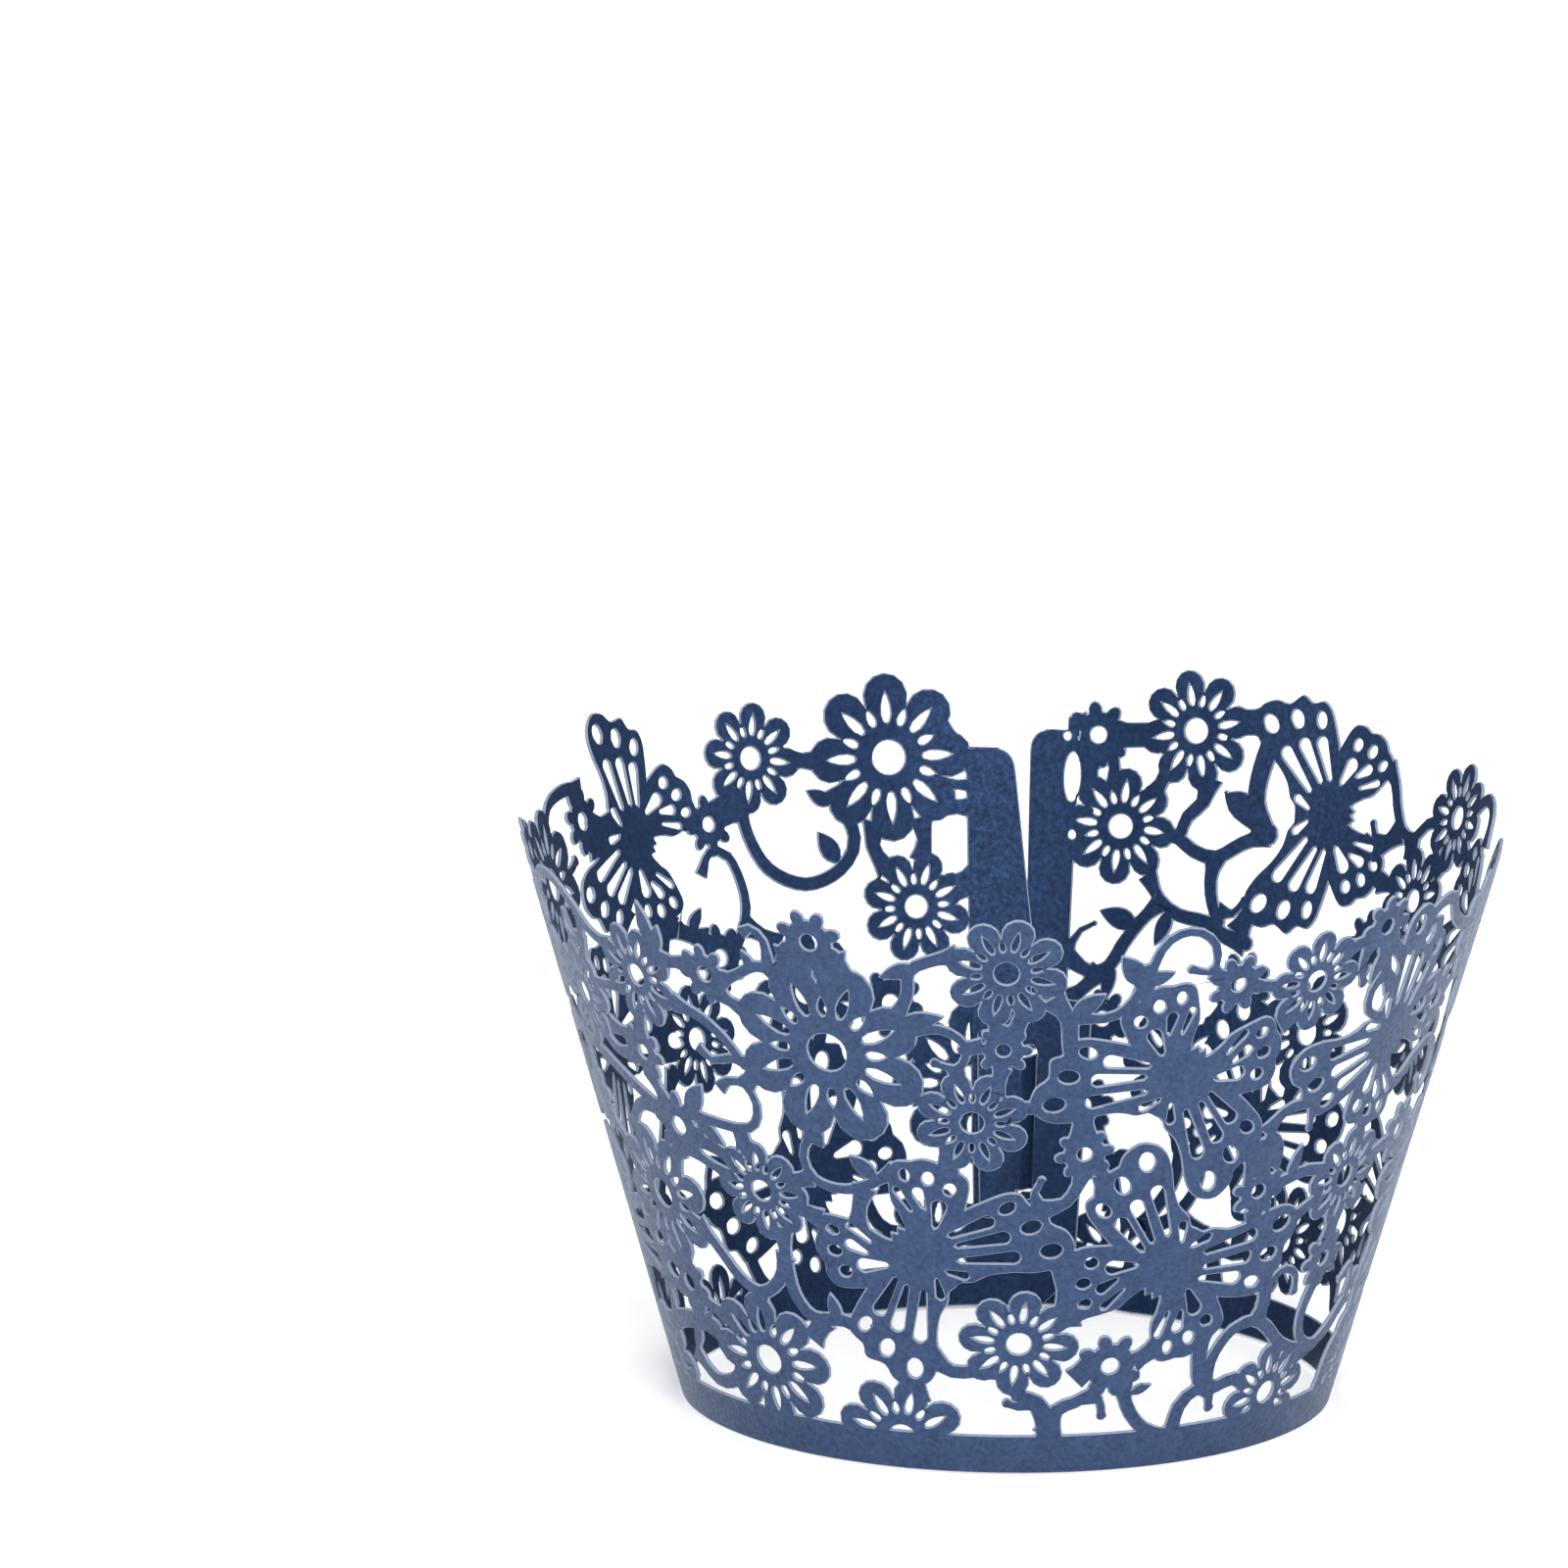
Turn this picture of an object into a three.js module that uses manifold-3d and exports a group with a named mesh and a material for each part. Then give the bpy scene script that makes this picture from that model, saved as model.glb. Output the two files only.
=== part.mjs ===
// Laser-cut lace cupcake wrapper: one flat card blank, rolled to a cone and held by its own tongue and slit.
// Millimetres, +Z up, origin at the middle of the base edge, the tongue at the back (+Y).
//
// Places on the blank are given as [round, up]: degrees round the cone from the front, towards +X, and
// millimetres up the slope from the base edge. Inside a motif, x runs round and y up the slope, in millimetres.

import * as THREE from 'three';
import { mergeVertices } from 'three/addons/utils/BufferGeometryUtils.js';
import Module from 'manifold-3d';

const wasm = await Module();
wasm.setup();

// Driving dimensions
const BASE_DIAMETER = 52;
const RIM_DIAMETER = 80.7;
const HEIGHT = 49.3;
const CARD = 0.3;
const BAND = 3.5;
const LAYER_GAP = 0.35;

// Closure: the back panel of each end of the blank, and the tongue that joins them
const PANEL_A = { lace: -174.7, edge: -183.5, foot: -192.3, footTop: 25, top: 45.3, chamfer: 2.6 };
const PANEL_B = { lace: 171.6, edge: 177.5, top: 46.7 };
const CORNER = 1.8;
const SLIT = { at: -183.4, low: 9.3, high: 20.5, width: 1.5, relief: 2.3 };
const TONGUE = { reach: 3.1, overhang: 2.1, corner: 0.8, cut: 0.9 };
const SLOT = { from: 174.6 };
const LAP = { from: 156, to: 163 };

// The size that the lace is drawn at, which stretches with the blank
const DRAWN = { diameter: 66.35, slant: 51.35 };

// How finely the curves are cut
const LOBE_STEPS = 3;
const STAR_STEPS = 2;
const STAR_EYE_STEPS = 4;
const ROUND_STEPS = 5;
const STROKE_STEP = 4.6;
const BAND_STEP = 9;
const PANEL_STEP = 3;
const CONTOUR_TOLERANCE = 0.1;
const CURVE_TOLERANCE = 0.3;

const slope = Math.hypot((RIM_DIAMETER - BASE_DIAMETER) / 2, HEIGHT);
const taper = (RIM_DIAMETER - BASE_DIAMETER) / 2 / slope;
const apex = BASE_DIAMETER / 2 / taper;
const stretchRound = (BASE_DIAMETER + RIM_DIAMETER) / 2 / DRAWN.diameter;
const stretchUp = slope / DRAWN.slant;
const degrees = Math.PI / 180;

// Point of the flat blank, a sector of a ring, for a place round and up
function blankPoint(round, up) {
  const angle = round * degrees * taper;
  return new THREE.Vector2((apex + up) * Math.sin(angle), (apex + up) * Math.cos(angle));
}

// Place round and up of a point of the flat blank
function blankPlace(x, y) {
  return [Math.atan2(x, y) / taper / degrees, Math.hypot(x, y) - apex];
}

// Outline drawn in a motif's own frame, laid on the blank at a place and turned
function lay(points, [round, up], turn = 0, scale = 1) {
  const centre = blankPoint(round, up * stretchUp);
  const along = round * degrees * taper;
  return points.map(([x, y]) => {
    const spin = turn * degrees;
    const dx = scale * stretchRound * (x * Math.cos(spin) - y * Math.sin(spin));
    const dy = scale * stretchUp * (x * Math.sin(spin) + y * Math.cos(spin));
    return new THREE.Vector2(
      centre.x + dx * Math.cos(along) + dy * Math.sin(along),
      centre.y - dx * Math.sin(along) + dy * Math.cos(along),
    );
  });
}

// Closed outline on the blank, one unit thick, as a solid
function plate(points) {
  const shape = new THREE.Shape(points);
  const geometry = new THREE.ExtrudeGeometry(shape, { depth: 1, bevelEnabled: false });
  geometry.deleteAttribute('normal');
  geometry.deleteAttribute('uv');
  const merged = mergeVertices(geometry, 1e-4);
  const mesh = new wasm.Mesh({
    numProp: 3,
    vertProperties: new Float32Array(merged.attributes.position.array),
    triVerts: new Uint32Array(merged.index.array),
  });
  return new wasm.Manifold(mesh);
}

// All the plates of a list joined, two by two
function joined(plates) {
  let row = plates;
  while (row.length > 1) {
    const next = [];
    for (let i = 0; i < row.length; i += 2) next.push(i + 1 < row.length ? row[i].add(row[i + 1]) : row[i]);
    row = next;
  }
  return row[0];
}

// Points of an arc, ends included
function arc(x, y, radius, from, to, steps) {
  const curve = new THREE.EllipseCurve(x, y, radius, radius, from * degrees, to * degrees, to < from);
  return curve.getPoints(steps).map((p) => [p.x, p.y]);
}

function disc(x, y, radius, steps = ROUND_STEPS) {
  return arc(x, y, radius, 0, 360, steps).slice(0, -1);
}

// Slot that widens from a point, and is cut off square
function wedge(from, to, width) {
  const dx = to[0] - from[0];
  const dy = to[1] - from[1];
  const length = Math.hypot(dx, dy);
  const side = (offset) => [to[0] - (dy / length) * offset, to[1] + (dx / length) * offset];
  return [from, side(-width / 2), side(width / 2)];
}

// Leaf shape from one point to another, pointed at both ends
function lens(from, to, width, widest = 0.5) {
  const dx = to[0] - from[0];
  const dy = to[1] - from[1];
  const length = Math.hypot(dx, dy);
  const side = (share, offset) => [
    from[0] + dx * share - (dy / length) * offset,
    from[1] + dy * share + (dx / length) * offset,
  ];
  return [from, side(widest, -width / 2), to, side(widest, width / 2)];
}

// Flower of round lobes that meet in valleys, each lobe an arc
function lobes(count, radius, valley, steps) {
  const half = 180 / count;
  const vx = valley * Math.cos(half * degrees);
  const vy = valley * Math.sin(half * degrees);
  const centre = (radius * radius - vx * vx - vy * vy) / (2 * (radius - vx));
  const open = Math.atan2(vy, vx - centre) / degrees;
  const petal = arc(centre, 0, radius - centre, -open, open, steps).slice(0, -1);
  const points = [];
  for (let i = 0; i < count; i += 1) {
    const spin = (i * 360 * degrees) / count;
    for (const [x, y] of petal) {
      points.push([x * Math.cos(spin) - y * Math.sin(spin), x * Math.sin(spin) + y * Math.cos(spin)]);
    }
  }
  return points;
}

function spun([x, y], angle) {
  const spin = angle * degrees;
  return [x * Math.cos(spin) - y * Math.sin(spin), x * Math.sin(spin) + y * Math.cos(spin)];
}

// Daisy: eight petals, a round eye, a slot in each petal and, on the large ones, one in each valley
const PETALS = 8;
const DAISY = { valley: 0.68, eye: 0.2, slot: [0.41, 0.74], slotWidth: 0.12, short: [0.4, 0.6] };
const LARGE_DAISY = 6.8;

function daisy(place, radius, turn) {
  const outline = [lay(lobes(PETALS, radius, radius * DAISY.valley, LOBE_STEPS), place, turn)];
  const windows = [lay(disc(0, 0, radius * DAISY.eye), place, turn)];
  const width = radius * DAISY.slotWidth;
  for (let i = 0; i < PETALS; i += 1) {
    const angle = (i * 360) / PETALS;
    const [inner, outer] = DAISY.slot.map((share) => spun([radius * share, 0], angle));
    if (radius > LARGE_DAISY) {
      windows.push(lay(wedge(inner, outer, width), place, turn));
    }
  }
  return { outline, windows };
}

// Small flower: eight short petals round an eye
const STAR = { petals: 6, valley: 0.66, eye: 0.24 };

function star(place, radius, turn = 0) {
  return {
    outline: [lay(lobes(STAR.petals, radius, radius * STAR.valley, STAR_STEPS), place, turn)],
    windows: [lay(disc(0, 0, radius * STAR.eye, STAR_EYE_STEPS), place)],
  };
}

// Butterfly, tail along +x and head along -x: the wings of one side, which run a little past its middle line
const HIND_WING = [
  [4.0, -0.2], [5.1, 2.9], [8.6, 6.9], [8.3, 9.2], [5.3, 10.0], [1.3, 9.9], [-0.5, 6.0], [-1.5, -0.2],
];
const FORE_WING = [
  [1.5, -0.2], [-0.4, 5.9], [-2.4, 7.9], [-5.4, 7.1], [-7.3, 4.6], [-6.6, 3.0], [-2.5, 0.8], [-2.4, -0.2],
];
const WING_DROPS = [
  { from: [0.3, 3.0], to: [1.7, 6.8], width: 1.15 },
  { from: [1.3, 2.8], to: [3.7, 6.6], width: 1.15 },
  { from: [2.4, 2.0], to: [5.6, 5.8], width: 1.15 },
];

function butterfly(place, head, scale) {
  const outline = [];
  const windows = [];
  for (const side of [1, -1]) {
    const mirrored = (points) => points.map(([x, y]) => [x, y * side]);
    const put = (points) => lay(side > 0 ? points : [...points].reverse(), place, head + 180, scale);
    outline.push(put(mirrored(HIND_WING)), put(mirrored(FORE_WING)));
    for (const drop of WING_DROPS) {
      windows.push(put(mirrored(wedge(drop.from, drop.to, drop.width))));
    }
  }
  return { outline, windows };
}

// Stroke of the pen along places [round, up], its width changing from one end to the other
function stroke(places, width, endWidth = width) {
  const flat = places.map(([round, up]) => blankPoint(round, up * stretchUp));
  const curve = new THREE.SplineCurve(flat);
  const count = Math.max(places.length - 1, Math.round(curve.getLength() / STROKE_STEP));
  const left = [];
  const right = [];
  for (let i = 0; i <= count; i += 1) {
    const point = curve.getPointAt(i / count);
    const tangent = curve.getTangentAt(i / count);
    const half = THREE.MathUtils.lerp(width, endWidth, i / count) / 2;
    left.push(new THREE.Vector2(point.x - tangent.y * half, point.y + tangent.x * half));
    right.push(new THREE.Vector2(point.x + tangent.y * half, point.y - tangent.x * half));
  }
  return { outline: [[...right, ...left.reverse()]], windows: [] };
}

// Pointed leaf from its foot to its tip
function leaf(foot, tip, width) {
  const from = blankPoint(foot[0], foot[1] * stretchUp);
  const to = blankPoint(tip[0], tip[1] * stretchUp);
  const points = lens([from.x, from.y], [to.x, to.y], width, 0.4).map(([x, y]) => new THREE.Vector2(x, y));
  return { outline: [points], windows: [] };
}

// The drawing: place, radius and turn of each daisy
const DAISIES = [
  [[-23.7, 37.8], 8.3, 22.5], [[-165.2, 44.7], 6.9, 0], [[-0.9, 46.0], 5.0, -14.5], [[-5.2, 32.3], 4.7, 21],
  [[1.5, 12.0], 4.9, -7], [[39.1, 43.2], 4.5, 0], [[48.6, 5.0], 4.6, 10], [[54.6, 23.8], 4.5, 0],
  [[-52.6, 41.4], 4.6, 22], [[-68.9, 37.4], 4.6, 0], [[-37.2, 24.0], 4.5, 0], [[-60, 21], 6.1, 10],
  [[-42.3, 8.2], 6.1, 0], [[-18.2, 2.9], 5.1, 20], [[157.2, 47.5], 5.0, 28.6], [[165.9, 39.1], 4.8, 4],
  [[111.3, 45.8], 4.6, 0], [[116.8, 38.0], 4.5, 22], [[-167.7, 32.5], 4.6, 20], [[-147, 45.7], 4.6, 13],
  [[-129.6, 24.3], 4.5, 0], [[154.3, 20.4], 4.8, 0], [[161, 4], 4.7, 0], [[127.3, 8.3], 4.7, 12],
  [[-168.1, 4.9], 4.8, 8], [[-174.7, 18.1], 6.6, 0], [[-120.7, 1.5], 5.0, 10],
];

// Place and radius of each small flower
const STARS = [
  [[-1.2, 39.0], 2.4], [[9.7, 29.4], 2.5], [[16.3, 9.7], 3.0], [[27.6, 44.0], 2.7], [[49.3, 46.8], 2.8],
  [[36.8, 24.4], 2.6], [[54.8, 16.4], 2.7], [[-24.4, 47.7], 2.7], [[-39.9, 43.2], 2.7], [[-55.3, 34.2], 2.6],
  [[-51.1, 28.2], 3.2], [[-59, 13.2], 2.8], [[169.4, 46.4], 2.8], [[-139.2, 41.0], 2.5], [[168.3, 16.3], 2.6],
];

// Place, direction of the head and scale of each butterfly
const BUTTERFLIES = [
  [[21.9, 36.0], 61.3, 1], [[-13.2, 19.9], 133, 1], [[24, 18.3], 240, 1], [[56.3, 36.2], 318, 0.93],
  [[136.5, 42.5], 171, 0.93], [[-146.8, 11.5], 224, 1], [[-126.2, 41.3], 208.5, 0.88],
];


// Tendrils: places along the stroke, width at its foot and at its end
const TENDRILS = [
  // rim, left of the front
  [[[-57, 43.2], [-61.5, 43.9], [-65, 45.8], [-69.5, 47.2], [-74.5, 47], [-79, 45.3]], 1.1, 1.0],
  [[[-63.5, 44.9], [-64.6, 43], [-67, 42.2], [-69.3, 43.1], [-68.6, 44.5]], 1.1, 0.7],
  [[[-64.8, 43.3], [-65.2, 41.5], [-66.8, 39.8]], 1.2, 1.2],
  [[[-65.5, 38.9], [-61, 39.3], [-56, 39.8]], 1.0, 1.0],
  [[[-62.5, 35.6], [-57.2, 35.2]], 1.1, 1.1],
  [[[-54, 38.4], [-55, 35.6]], 1.4, 1.2],
  [[[-46.5, 39.9], [-42, 39], [-38.8, 37.5], [-36.4, 35.6]], 1.2, 1.0],
  [[[-43.7, 36.3], [-41.5, 35.3], [-38.5, 35.8], [-35, 35.6]], 0.7, 1.0],
  [[[-41.3, 32.7], [-39.5, 33.6], [-36.8, 33.6], [-35.4, 31.9], [-36.3, 30.1], [-39.5, 29.4], [-49, 29.8]], 0.8, 1.1],
  [[[-36.9, 33.4], [-34.6, 34.9]], 1.1, 1.1],
  [[[-42.4, 43.7], [-47.2, 43.6]], 1.1, 1.1],
  [[[-38.7, 41.8], [-34.5, 40.4]], 1.1, 1.1],
  [[[-37.6, 42.8], [-34.8, 43.8], [-32, 44.8], [-28.5, 44.6]], 0.9, 1.2],
  [[[-33.4, 47.6], [-32, 48.2], [-30.4, 47.2], [-30.2, 44.4]], 0.7, 1.1],
  [[[-25.8, 46.6], [-26.9, 44.2]], 1.3, 1.3],
  [[[-23, 46.6], [-21.6, 44.2]], 1.3, 1.3],
  // rim, right of the front
  [[[-14.5, 41.4], [-12.8, 43.6], [-12.4, 45.8], [-10.2, 46.8], [-6.4, 47.6]], 1.1, 1.2],
  [[[-13.5, 40.3], [-9, 40.7], [-6.2, 39.6], [-5.9, 38.2], [-7.2, 37.2], [-9.8, 37.6]], 1.0, 0.7],
  [[[-7.2, 37.2], [-6.4, 35.2]], 0.9, 1.0],
  [[[-2.9, 43.2], [-1.8, 40.5]], 1.1, 1.0],
  [[[1.4, 42.8], [0.1, 40.5]], 1.1, 1.0],
  [[[-1.3, 37.5], [-2.2, 35.0]], 1.0, 1.0],
  [[[-3.6, 39.4], [-6.3, 39.0]], 0.9, 0.9],
  [[[-1.5, 33.8], [5.6, 33.7]], 1.3, 1.2],
  [[[-8.0, 30.0], [-8.8, 27.6]], 1.3, 1.3],
  [[[4.4, 43.8], [6.6, 41.8], [7.0, 39.5], [7.8, 37.4]], 1.5, 1.4],
  [[[7, 42.0], [11, 41.8], [13.5, 42.6], [15, 44.2], [15.7, 46.2]], 1.0, 0.9],
  [[[15.3, 45.7], [15.8, 43.8], [17.4, 41.8]], 1.4, 1.4],
  [[[15.6, 44.4], [17.2, 47.8], [19.2, 49.1], [21.8, 49.1], [23.9, 47.8], [24.3, 46.0], [23.4, 45.4], [21.2, 45.8]], 1.0, 0.7],
  [[[23.8, 45.4], [27, 44.2]], 0.9, 1.1],
  [[[28.5, 43.8], [35, 43.2]], 1.1, 1.1],
  [[[42.8, 45.4], [48, 46.4]], 1.2, 1.2],
  [[[49.5, 46.0], [52.5, 44.4], [55.5, 43.0]], 1.4, 1.4],
  [[[34.6, 39.6], [37.2, 40.8]], 1.3, 1.3],
  [[[36.0, 29.6], [38.5, 31.4], [41.5, 31.8], [46.5, 31.6]], 1.2, 1.1],
  [[[43.6, 31.6], [43.8, 29.4]], 0.9, 0.6],
  [[[38, 24.6], [42, 25.0], [45.5, 25.4], [51, 24.8]], 1.2, 1.2],
  [[[36.6, 25.8], [36.0, 28.8]], 1.2, 1.2],
  [[[36.8, 22.8], [37.2, 19.6]], 1.2, 1.2],
  [[[43.0, 20.4], [47.5, 22.0], [51.4, 22.8]], 1.2, 1.2],
  [[[54.8, 20.6], [54.8, 18]], 1.4, 1.4],
  [[[55.8, 30.6], [55, 26.6]], 1.5, 1.4],
  [[[9, 34.0], [9.4, 30.6]], 1.8, 1.6],
  [[[9.7, 28.2], [9.1, 26.6], [7.5, 25], [4.5, 24.4]], 1.2, 1.1],
  [[[3.9, 24.6], [3.2, 26], [4.1, 27.1]], 0.8, 0.6],
  [[[11.0, 28.8], [12.8, 27.2], [15.4, 27.4]], 1.1, 1.1],
  [[[12.4, 27.4], [12.6, 24.6]], 1.1, 1.1],
  // waist, left of the front
  [[[-80, 33.3], [-70, 32.6], [-64, 31.5], [-58.5, 30.2], [-53, 29]], 1.2, 1.2],
  [[[-55.2, 32.6], [-52.6, 29.6]], 1.3, 1.3],
  [[[-49, 27.6], [-44, 26.9], [-39.8, 26.0]], 1.4, 1.3],
  [[[-50.5, 26.4], [-46.5, 25.5], [-42, 24.6]], 1.1, 1.0],
  [[[-39.2, 29.8], [-38.6, 27.4]], 1.3, 1.3],
  [[[-52, 26.4], [-55.0, 23.6]], 1.2, 1.3],
  [[[-52, 19.6], [-48, 17.2], [-45, 15.3], [-41, 14.4], [-37, 15.8], [-34.9, 18.4]], 1.3, 1.2],
  [[[-59.4, 16.8], [-59, 14.6]], 1.3, 1.3],
  [[[-57.0, 12.4], [-50.5, 11.0]], 1.2, 1.2],
  [[[-41.4, 14.8], [-42, 12.8]], 1.4, 1.4],
  [[[-32.4, 25.2], [-28.4, 26]], 1.1, 1.1],
  [[[-32.8, 23.4], [-27.6, 22.2]], 1.3, 1.3],
  [[[-34.6, 21], [-34.9, 17.5], [-34.3, 14.8], [-31.5, 13], [-26.3, 13.1], [-22.4, 12.2]], 1.3, 1.3],
  [[[-32.6, 10.8], [-29.5, 12.9]], 1.4, 1.3],
  [[[-25.7, 29.5], [-28, 29.5], [-29.2, 27.8], [-28, 26], [-24.5, 25.3], [-20.5, 25.8], [-15.6, 27.6]], 0.8, 1.1],
  [[[-27.4, 29.3], [-26.8, 31.4]], 1.1, 1.1],
  [[[-20.4, 25.8], [-21.5, 24], [-22.2, 21.6]], 1.3, 1.4],
  [[[-15.3, 9.6], [-15.9, 6.4]], 2.0, 1.8],
  [[[-12.6, 10.6], [-9, 9.3], [-5.5, 9.4], [-1.8, 9.6]], 1.4, 1.2],
  [[[5.2, 13.6], [10.5, 14.6]], 1.4, 1.4],
  [[[7.0, 20.4], [8.0, 18.0], [9.4, 15.6]], 1.8, 1.8],
  // foot
  [[[6.7, 2], [6.4, 4.5], [4.5, 6.5], [1.8, 7.2], [0.8, 9.2]], 2.0, 1.3],
  [[[3.8, 6.6], [1.5, 6.2], [-0.3, 6.5]], 0.9, 0.7],
  [[[6.6, 3.6], [8, 5.8], [11, 6.5], [14.6, 7.6]], 1.5, 1.1],
  [[[12.6, 6.9], [15, 6.6], [15.7, 5.1]], 0.9, 0.7],
  [[[18.6, 8.2], [19.8, 6], [22, 4.3], [26, 2.6]], 1.2, 1.2],
  [[[20.0, 9.8], [24.0, 11.2]], 1.2, 1.4],
  [[[28.8, 2], [29.6, 5.2], [32.5, 6.6], [36.5, 6.6], [40, 7.0], [44.5, 5.8]], 1.4, 1.3],
  [[[34.2, 6.6], [35.4, 5.8], [35.9, 4.7]], 0.9, 0.7],
  [[[31.6, 12.4], [32, 9.2], [33, 7.3], [35, 6.6]], 1.7, 1.4],
  [[[33.6, 7.2], [34.8, 9.8], [37.5, 11.7], [41.5, 12.2], [45, 11.2], [49, 9.4], [56, 7.8]], 1.2, 1.2],
  [[[42.2, 11.8], [42.7, 14], [41.4, 16.6]], 1.4, 1.4],
  [[[42.7, 13.4], [43.5, 15.6], [46, 16.4], [48.7, 15.6], [49.4, 14]], 1.0, 0.7],
  [[[54.8, 15.2], [53, 12], [53.8, 9.8], [57, 8.4], [62, 8.5], [66, 10.3], [67, 13], [65, 14.6], [62.8, 13.5]], 1.3, 0.7],
  [[[10.4, 8.6], [13, 9.8]], 1.3, 1.3],
  // rim and waist, right side
  [[[57, 45.6], [60.5, 47.2], [63.5, 47.2], [66, 45.2], [70, 43.9], [74.5, 43.6]], 1.3, 1.2],
  [[[59.5, 31.0], [62.5, 31.4], [66, 33], [70, 33.8], [74, 32.5], [75, 30], [72.5, 28.8], [70.3, 30.3]], 1.3, 0.7],
  [[[57.8, 24.4], [63, 25.2], [68, 25.8]], 1.3, 1.3],
  [[[87.4, 27.6], [87.8, 24.4]], 1.2, 1.2],
  [[[88.4, 30.4], [92.4, 34.8]], 1.2, 1.2],
  [[[106, 32.4], [110.5, 34.6], [114, 35.6]], 1.2, 1.2],
  // rim, back right
  [[[114.4, 45.0], [118.4, 43.4], [120.6, 42.6], [123, 43.3], [125.6, 45.2]], 1.2, 1.2],
  [[[112.6, 42.2], [114, 41.0]], 1.6, 1.6],
  [[[120.2, 38.6], [125.6, 38.4]], 1.3, 1.3],
  [[[146.6, 48.6], [147.8, 45.2], [147.8, 42.4], [145.4, 40.0]], 2.0, 1.6],
  [[[142.5, 39.5], [147, 39.4], [150.5, 37], [152, 34.6], [150, 32.9], [147.7, 34.5]], 1.2, 0.7],
  [[[154.6, 43.8], [156.7, 40.5], [155.5, 38.2], [152, 37.6], [149.5, 39.8]], 1.1, 0.7],
  [[[156.0, 38.4], [162, 38.8]], 1.2, 1.2],
  [[[162.2, 36.2], [158, 33.6], [154, 32.6], [149, 32.2], [143.6, 34.4]], 1.3, 1.3],
  [[[160.8, 46.8], [168.5, 46.4]], 1.4, 1.4],
  [[[162.2, 44.4], [164.4, 41.6]], 1.5, 1.4],
  [[[168.8, 42.6], [168.9, 44.6]], 1.6, 1.4],
  [[[169.4, 39.4], [173, 38.8]], 2.0, 2.0],
  [[[170.6, 46.2], [174, 46.0]], 1.6, 1.6],
  [[[159.4, 34.2], [162, 31.8], [164.5, 29.6], [166.4, 27.2], [173, 25.4]], 1.4, 1.4],
  [[[166.6, 28.6], [170, 29.8], [173, 31.2]], 1.2, 1.2],
  [[[123.2, 34.2], [118.6, 36.6]], 1.2, 1.2],
  [[[125.6, 32.4], [129.6, 28.0]], 1.2, 1.2],
  [[[140.6, 25.4], [143.6, 26.4]], 1.2, 1.2],
  [[[146.6, 26.6], [151.6, 22.4]], 1.2, 1.2],
  [[[151.4, 18.6], [145.6, 15.2], [138.8, 11.0]], 1.3, 1.3],
  [[[140.2, 12.2], [135.0, 15.6], [132.8, 20.8]], 1.2, 1.2],
  [[[152.4, 16.8], [151.8, 11.4], [157.6, 6.4]], 1.2, 1.2],
  [[[-109.0, 12.8], [-116.5, 18.1], [-122.6, 22.4]], 1.3, 1.3],
  // rim and waist, back left
  [[[-157.6, 42.6], [-160, 38.4], [-157.6, 35.9], [-152.5, 35.0], [-147.4, 36.6], [-145, 39.6], [-144.6, 42.6]], 1.2, 1.2],
  [[[-136.5, 37.0], [-138.5, 38.7], [-141.5, 38.1], [-143, 35], [-142.3, 32.6], [-140, 30.6], [-136.6, 28]], 0.8, 1.2],
  [[[-143.6, 41.8], [-140.4, 41.2]], 1.4, 1.2],
  [[[-138, 41.2], [-133.6, 41.8]], 1.2, 1.2],
  [[[-151.4, 45.2], [-156.6, 44.8]], 1.3, 1.3],
  [[[-167.2, 36.2], [-166.6, 39.4]], 1.8, 1.6],
  [[[-171.6, 33.6], [-176, 34.6]], 1.8, 1.8],
  [[[-170.6, 41.6], [-176, 41.4]], 1.4, 1.4],
  [[[-171.0, 47.4], [-176, 44.0]], 1.4, 1.4],
  [[[-144.4, 43.6], [-139.8, 41.8]], 1.2, 1.2],
  [[[-121.4, 36.2], [-115.4, 32.4]], 1.2, 1.2],
  [[[-105.2, 45.2], [-101, 44.4]], 1.2, 1.2],
  [[[-79.6, 39.2], [-72.4, 38.0]], 1.2, 1.2],
  [[[-79.2, 45.5], [-81.6, 42.6]], 1.1, 1.2],
  [[[-94.4, 40.2], [-87, 39.8]], 1.2, 1.2],
  [[[-80.2, 33.3], [-86, 31.4]], 1.2, 1.2],
  [[[-75.2, 28.2], [-74.6, 33.2]], 1.2, 1.2],
  [[[-73.6, 26.6], [-66.6, 23.6]], 1.2, 1.2],
  [[[-163.4, 24.0], [-166.8, 20.4]], 1.2, 1.2],
  [[[-161.8, 25.4], [-155, 26.4]], 1.2, 1.2],
  [[[-100.6, 36.4], [-97.6, 31.4], [-93.4, 29.4]], 1.2, 1.2],
  [[[-147.6, 30.4], [-142.3, 32.4]], 1.2, 1.2],
  [[[-117, 46.6], [-112.6, 47.2], [-107, 46.8], [-104, 45], [-105, 42.3], [-108, 41], [-111, 41.6]], 1.3, 0.8],
];

// Leaves: foot, tip and width
const LEAVES = [
  [[7.0, 42.2], [11.1, 44.1], 1.7], [[15.8, 44.6], [12.4, 47.5], 2.0], [[15.4, 44.8], [19.4, 45.7], 1.4],
  [[-11.4, 46.4], [-16.2, 45.1], 1.5], [[-14, 41.1], [-8.2, 41.9], 1.6], [[-48.6, 29.6], [-44.4, 32.8], 2.0],
  [[-32.4, 44.4], [-33.8, 46.2], 1.1], [[-18.6, 26.6], [-22.4, 28.6], 1.6], [[-27.2, 12.8], [-28.1, 15.6], 1.3],
  [[42.0, 24.8], [43.3, 28.2], 1.3], [[20.0, 7.0], [24.1, 7.7], 1.0], [[148.0, 42.0], [152.4, 42.8], 1.6],
  [[161.8, 31.6], [167.8, 32.3], 1.7], [[165.6, 28.2], [166.4, 24.6], 1.3], [[-157.4, 41.2], [-154, 42.6], 1.4],
];

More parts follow.
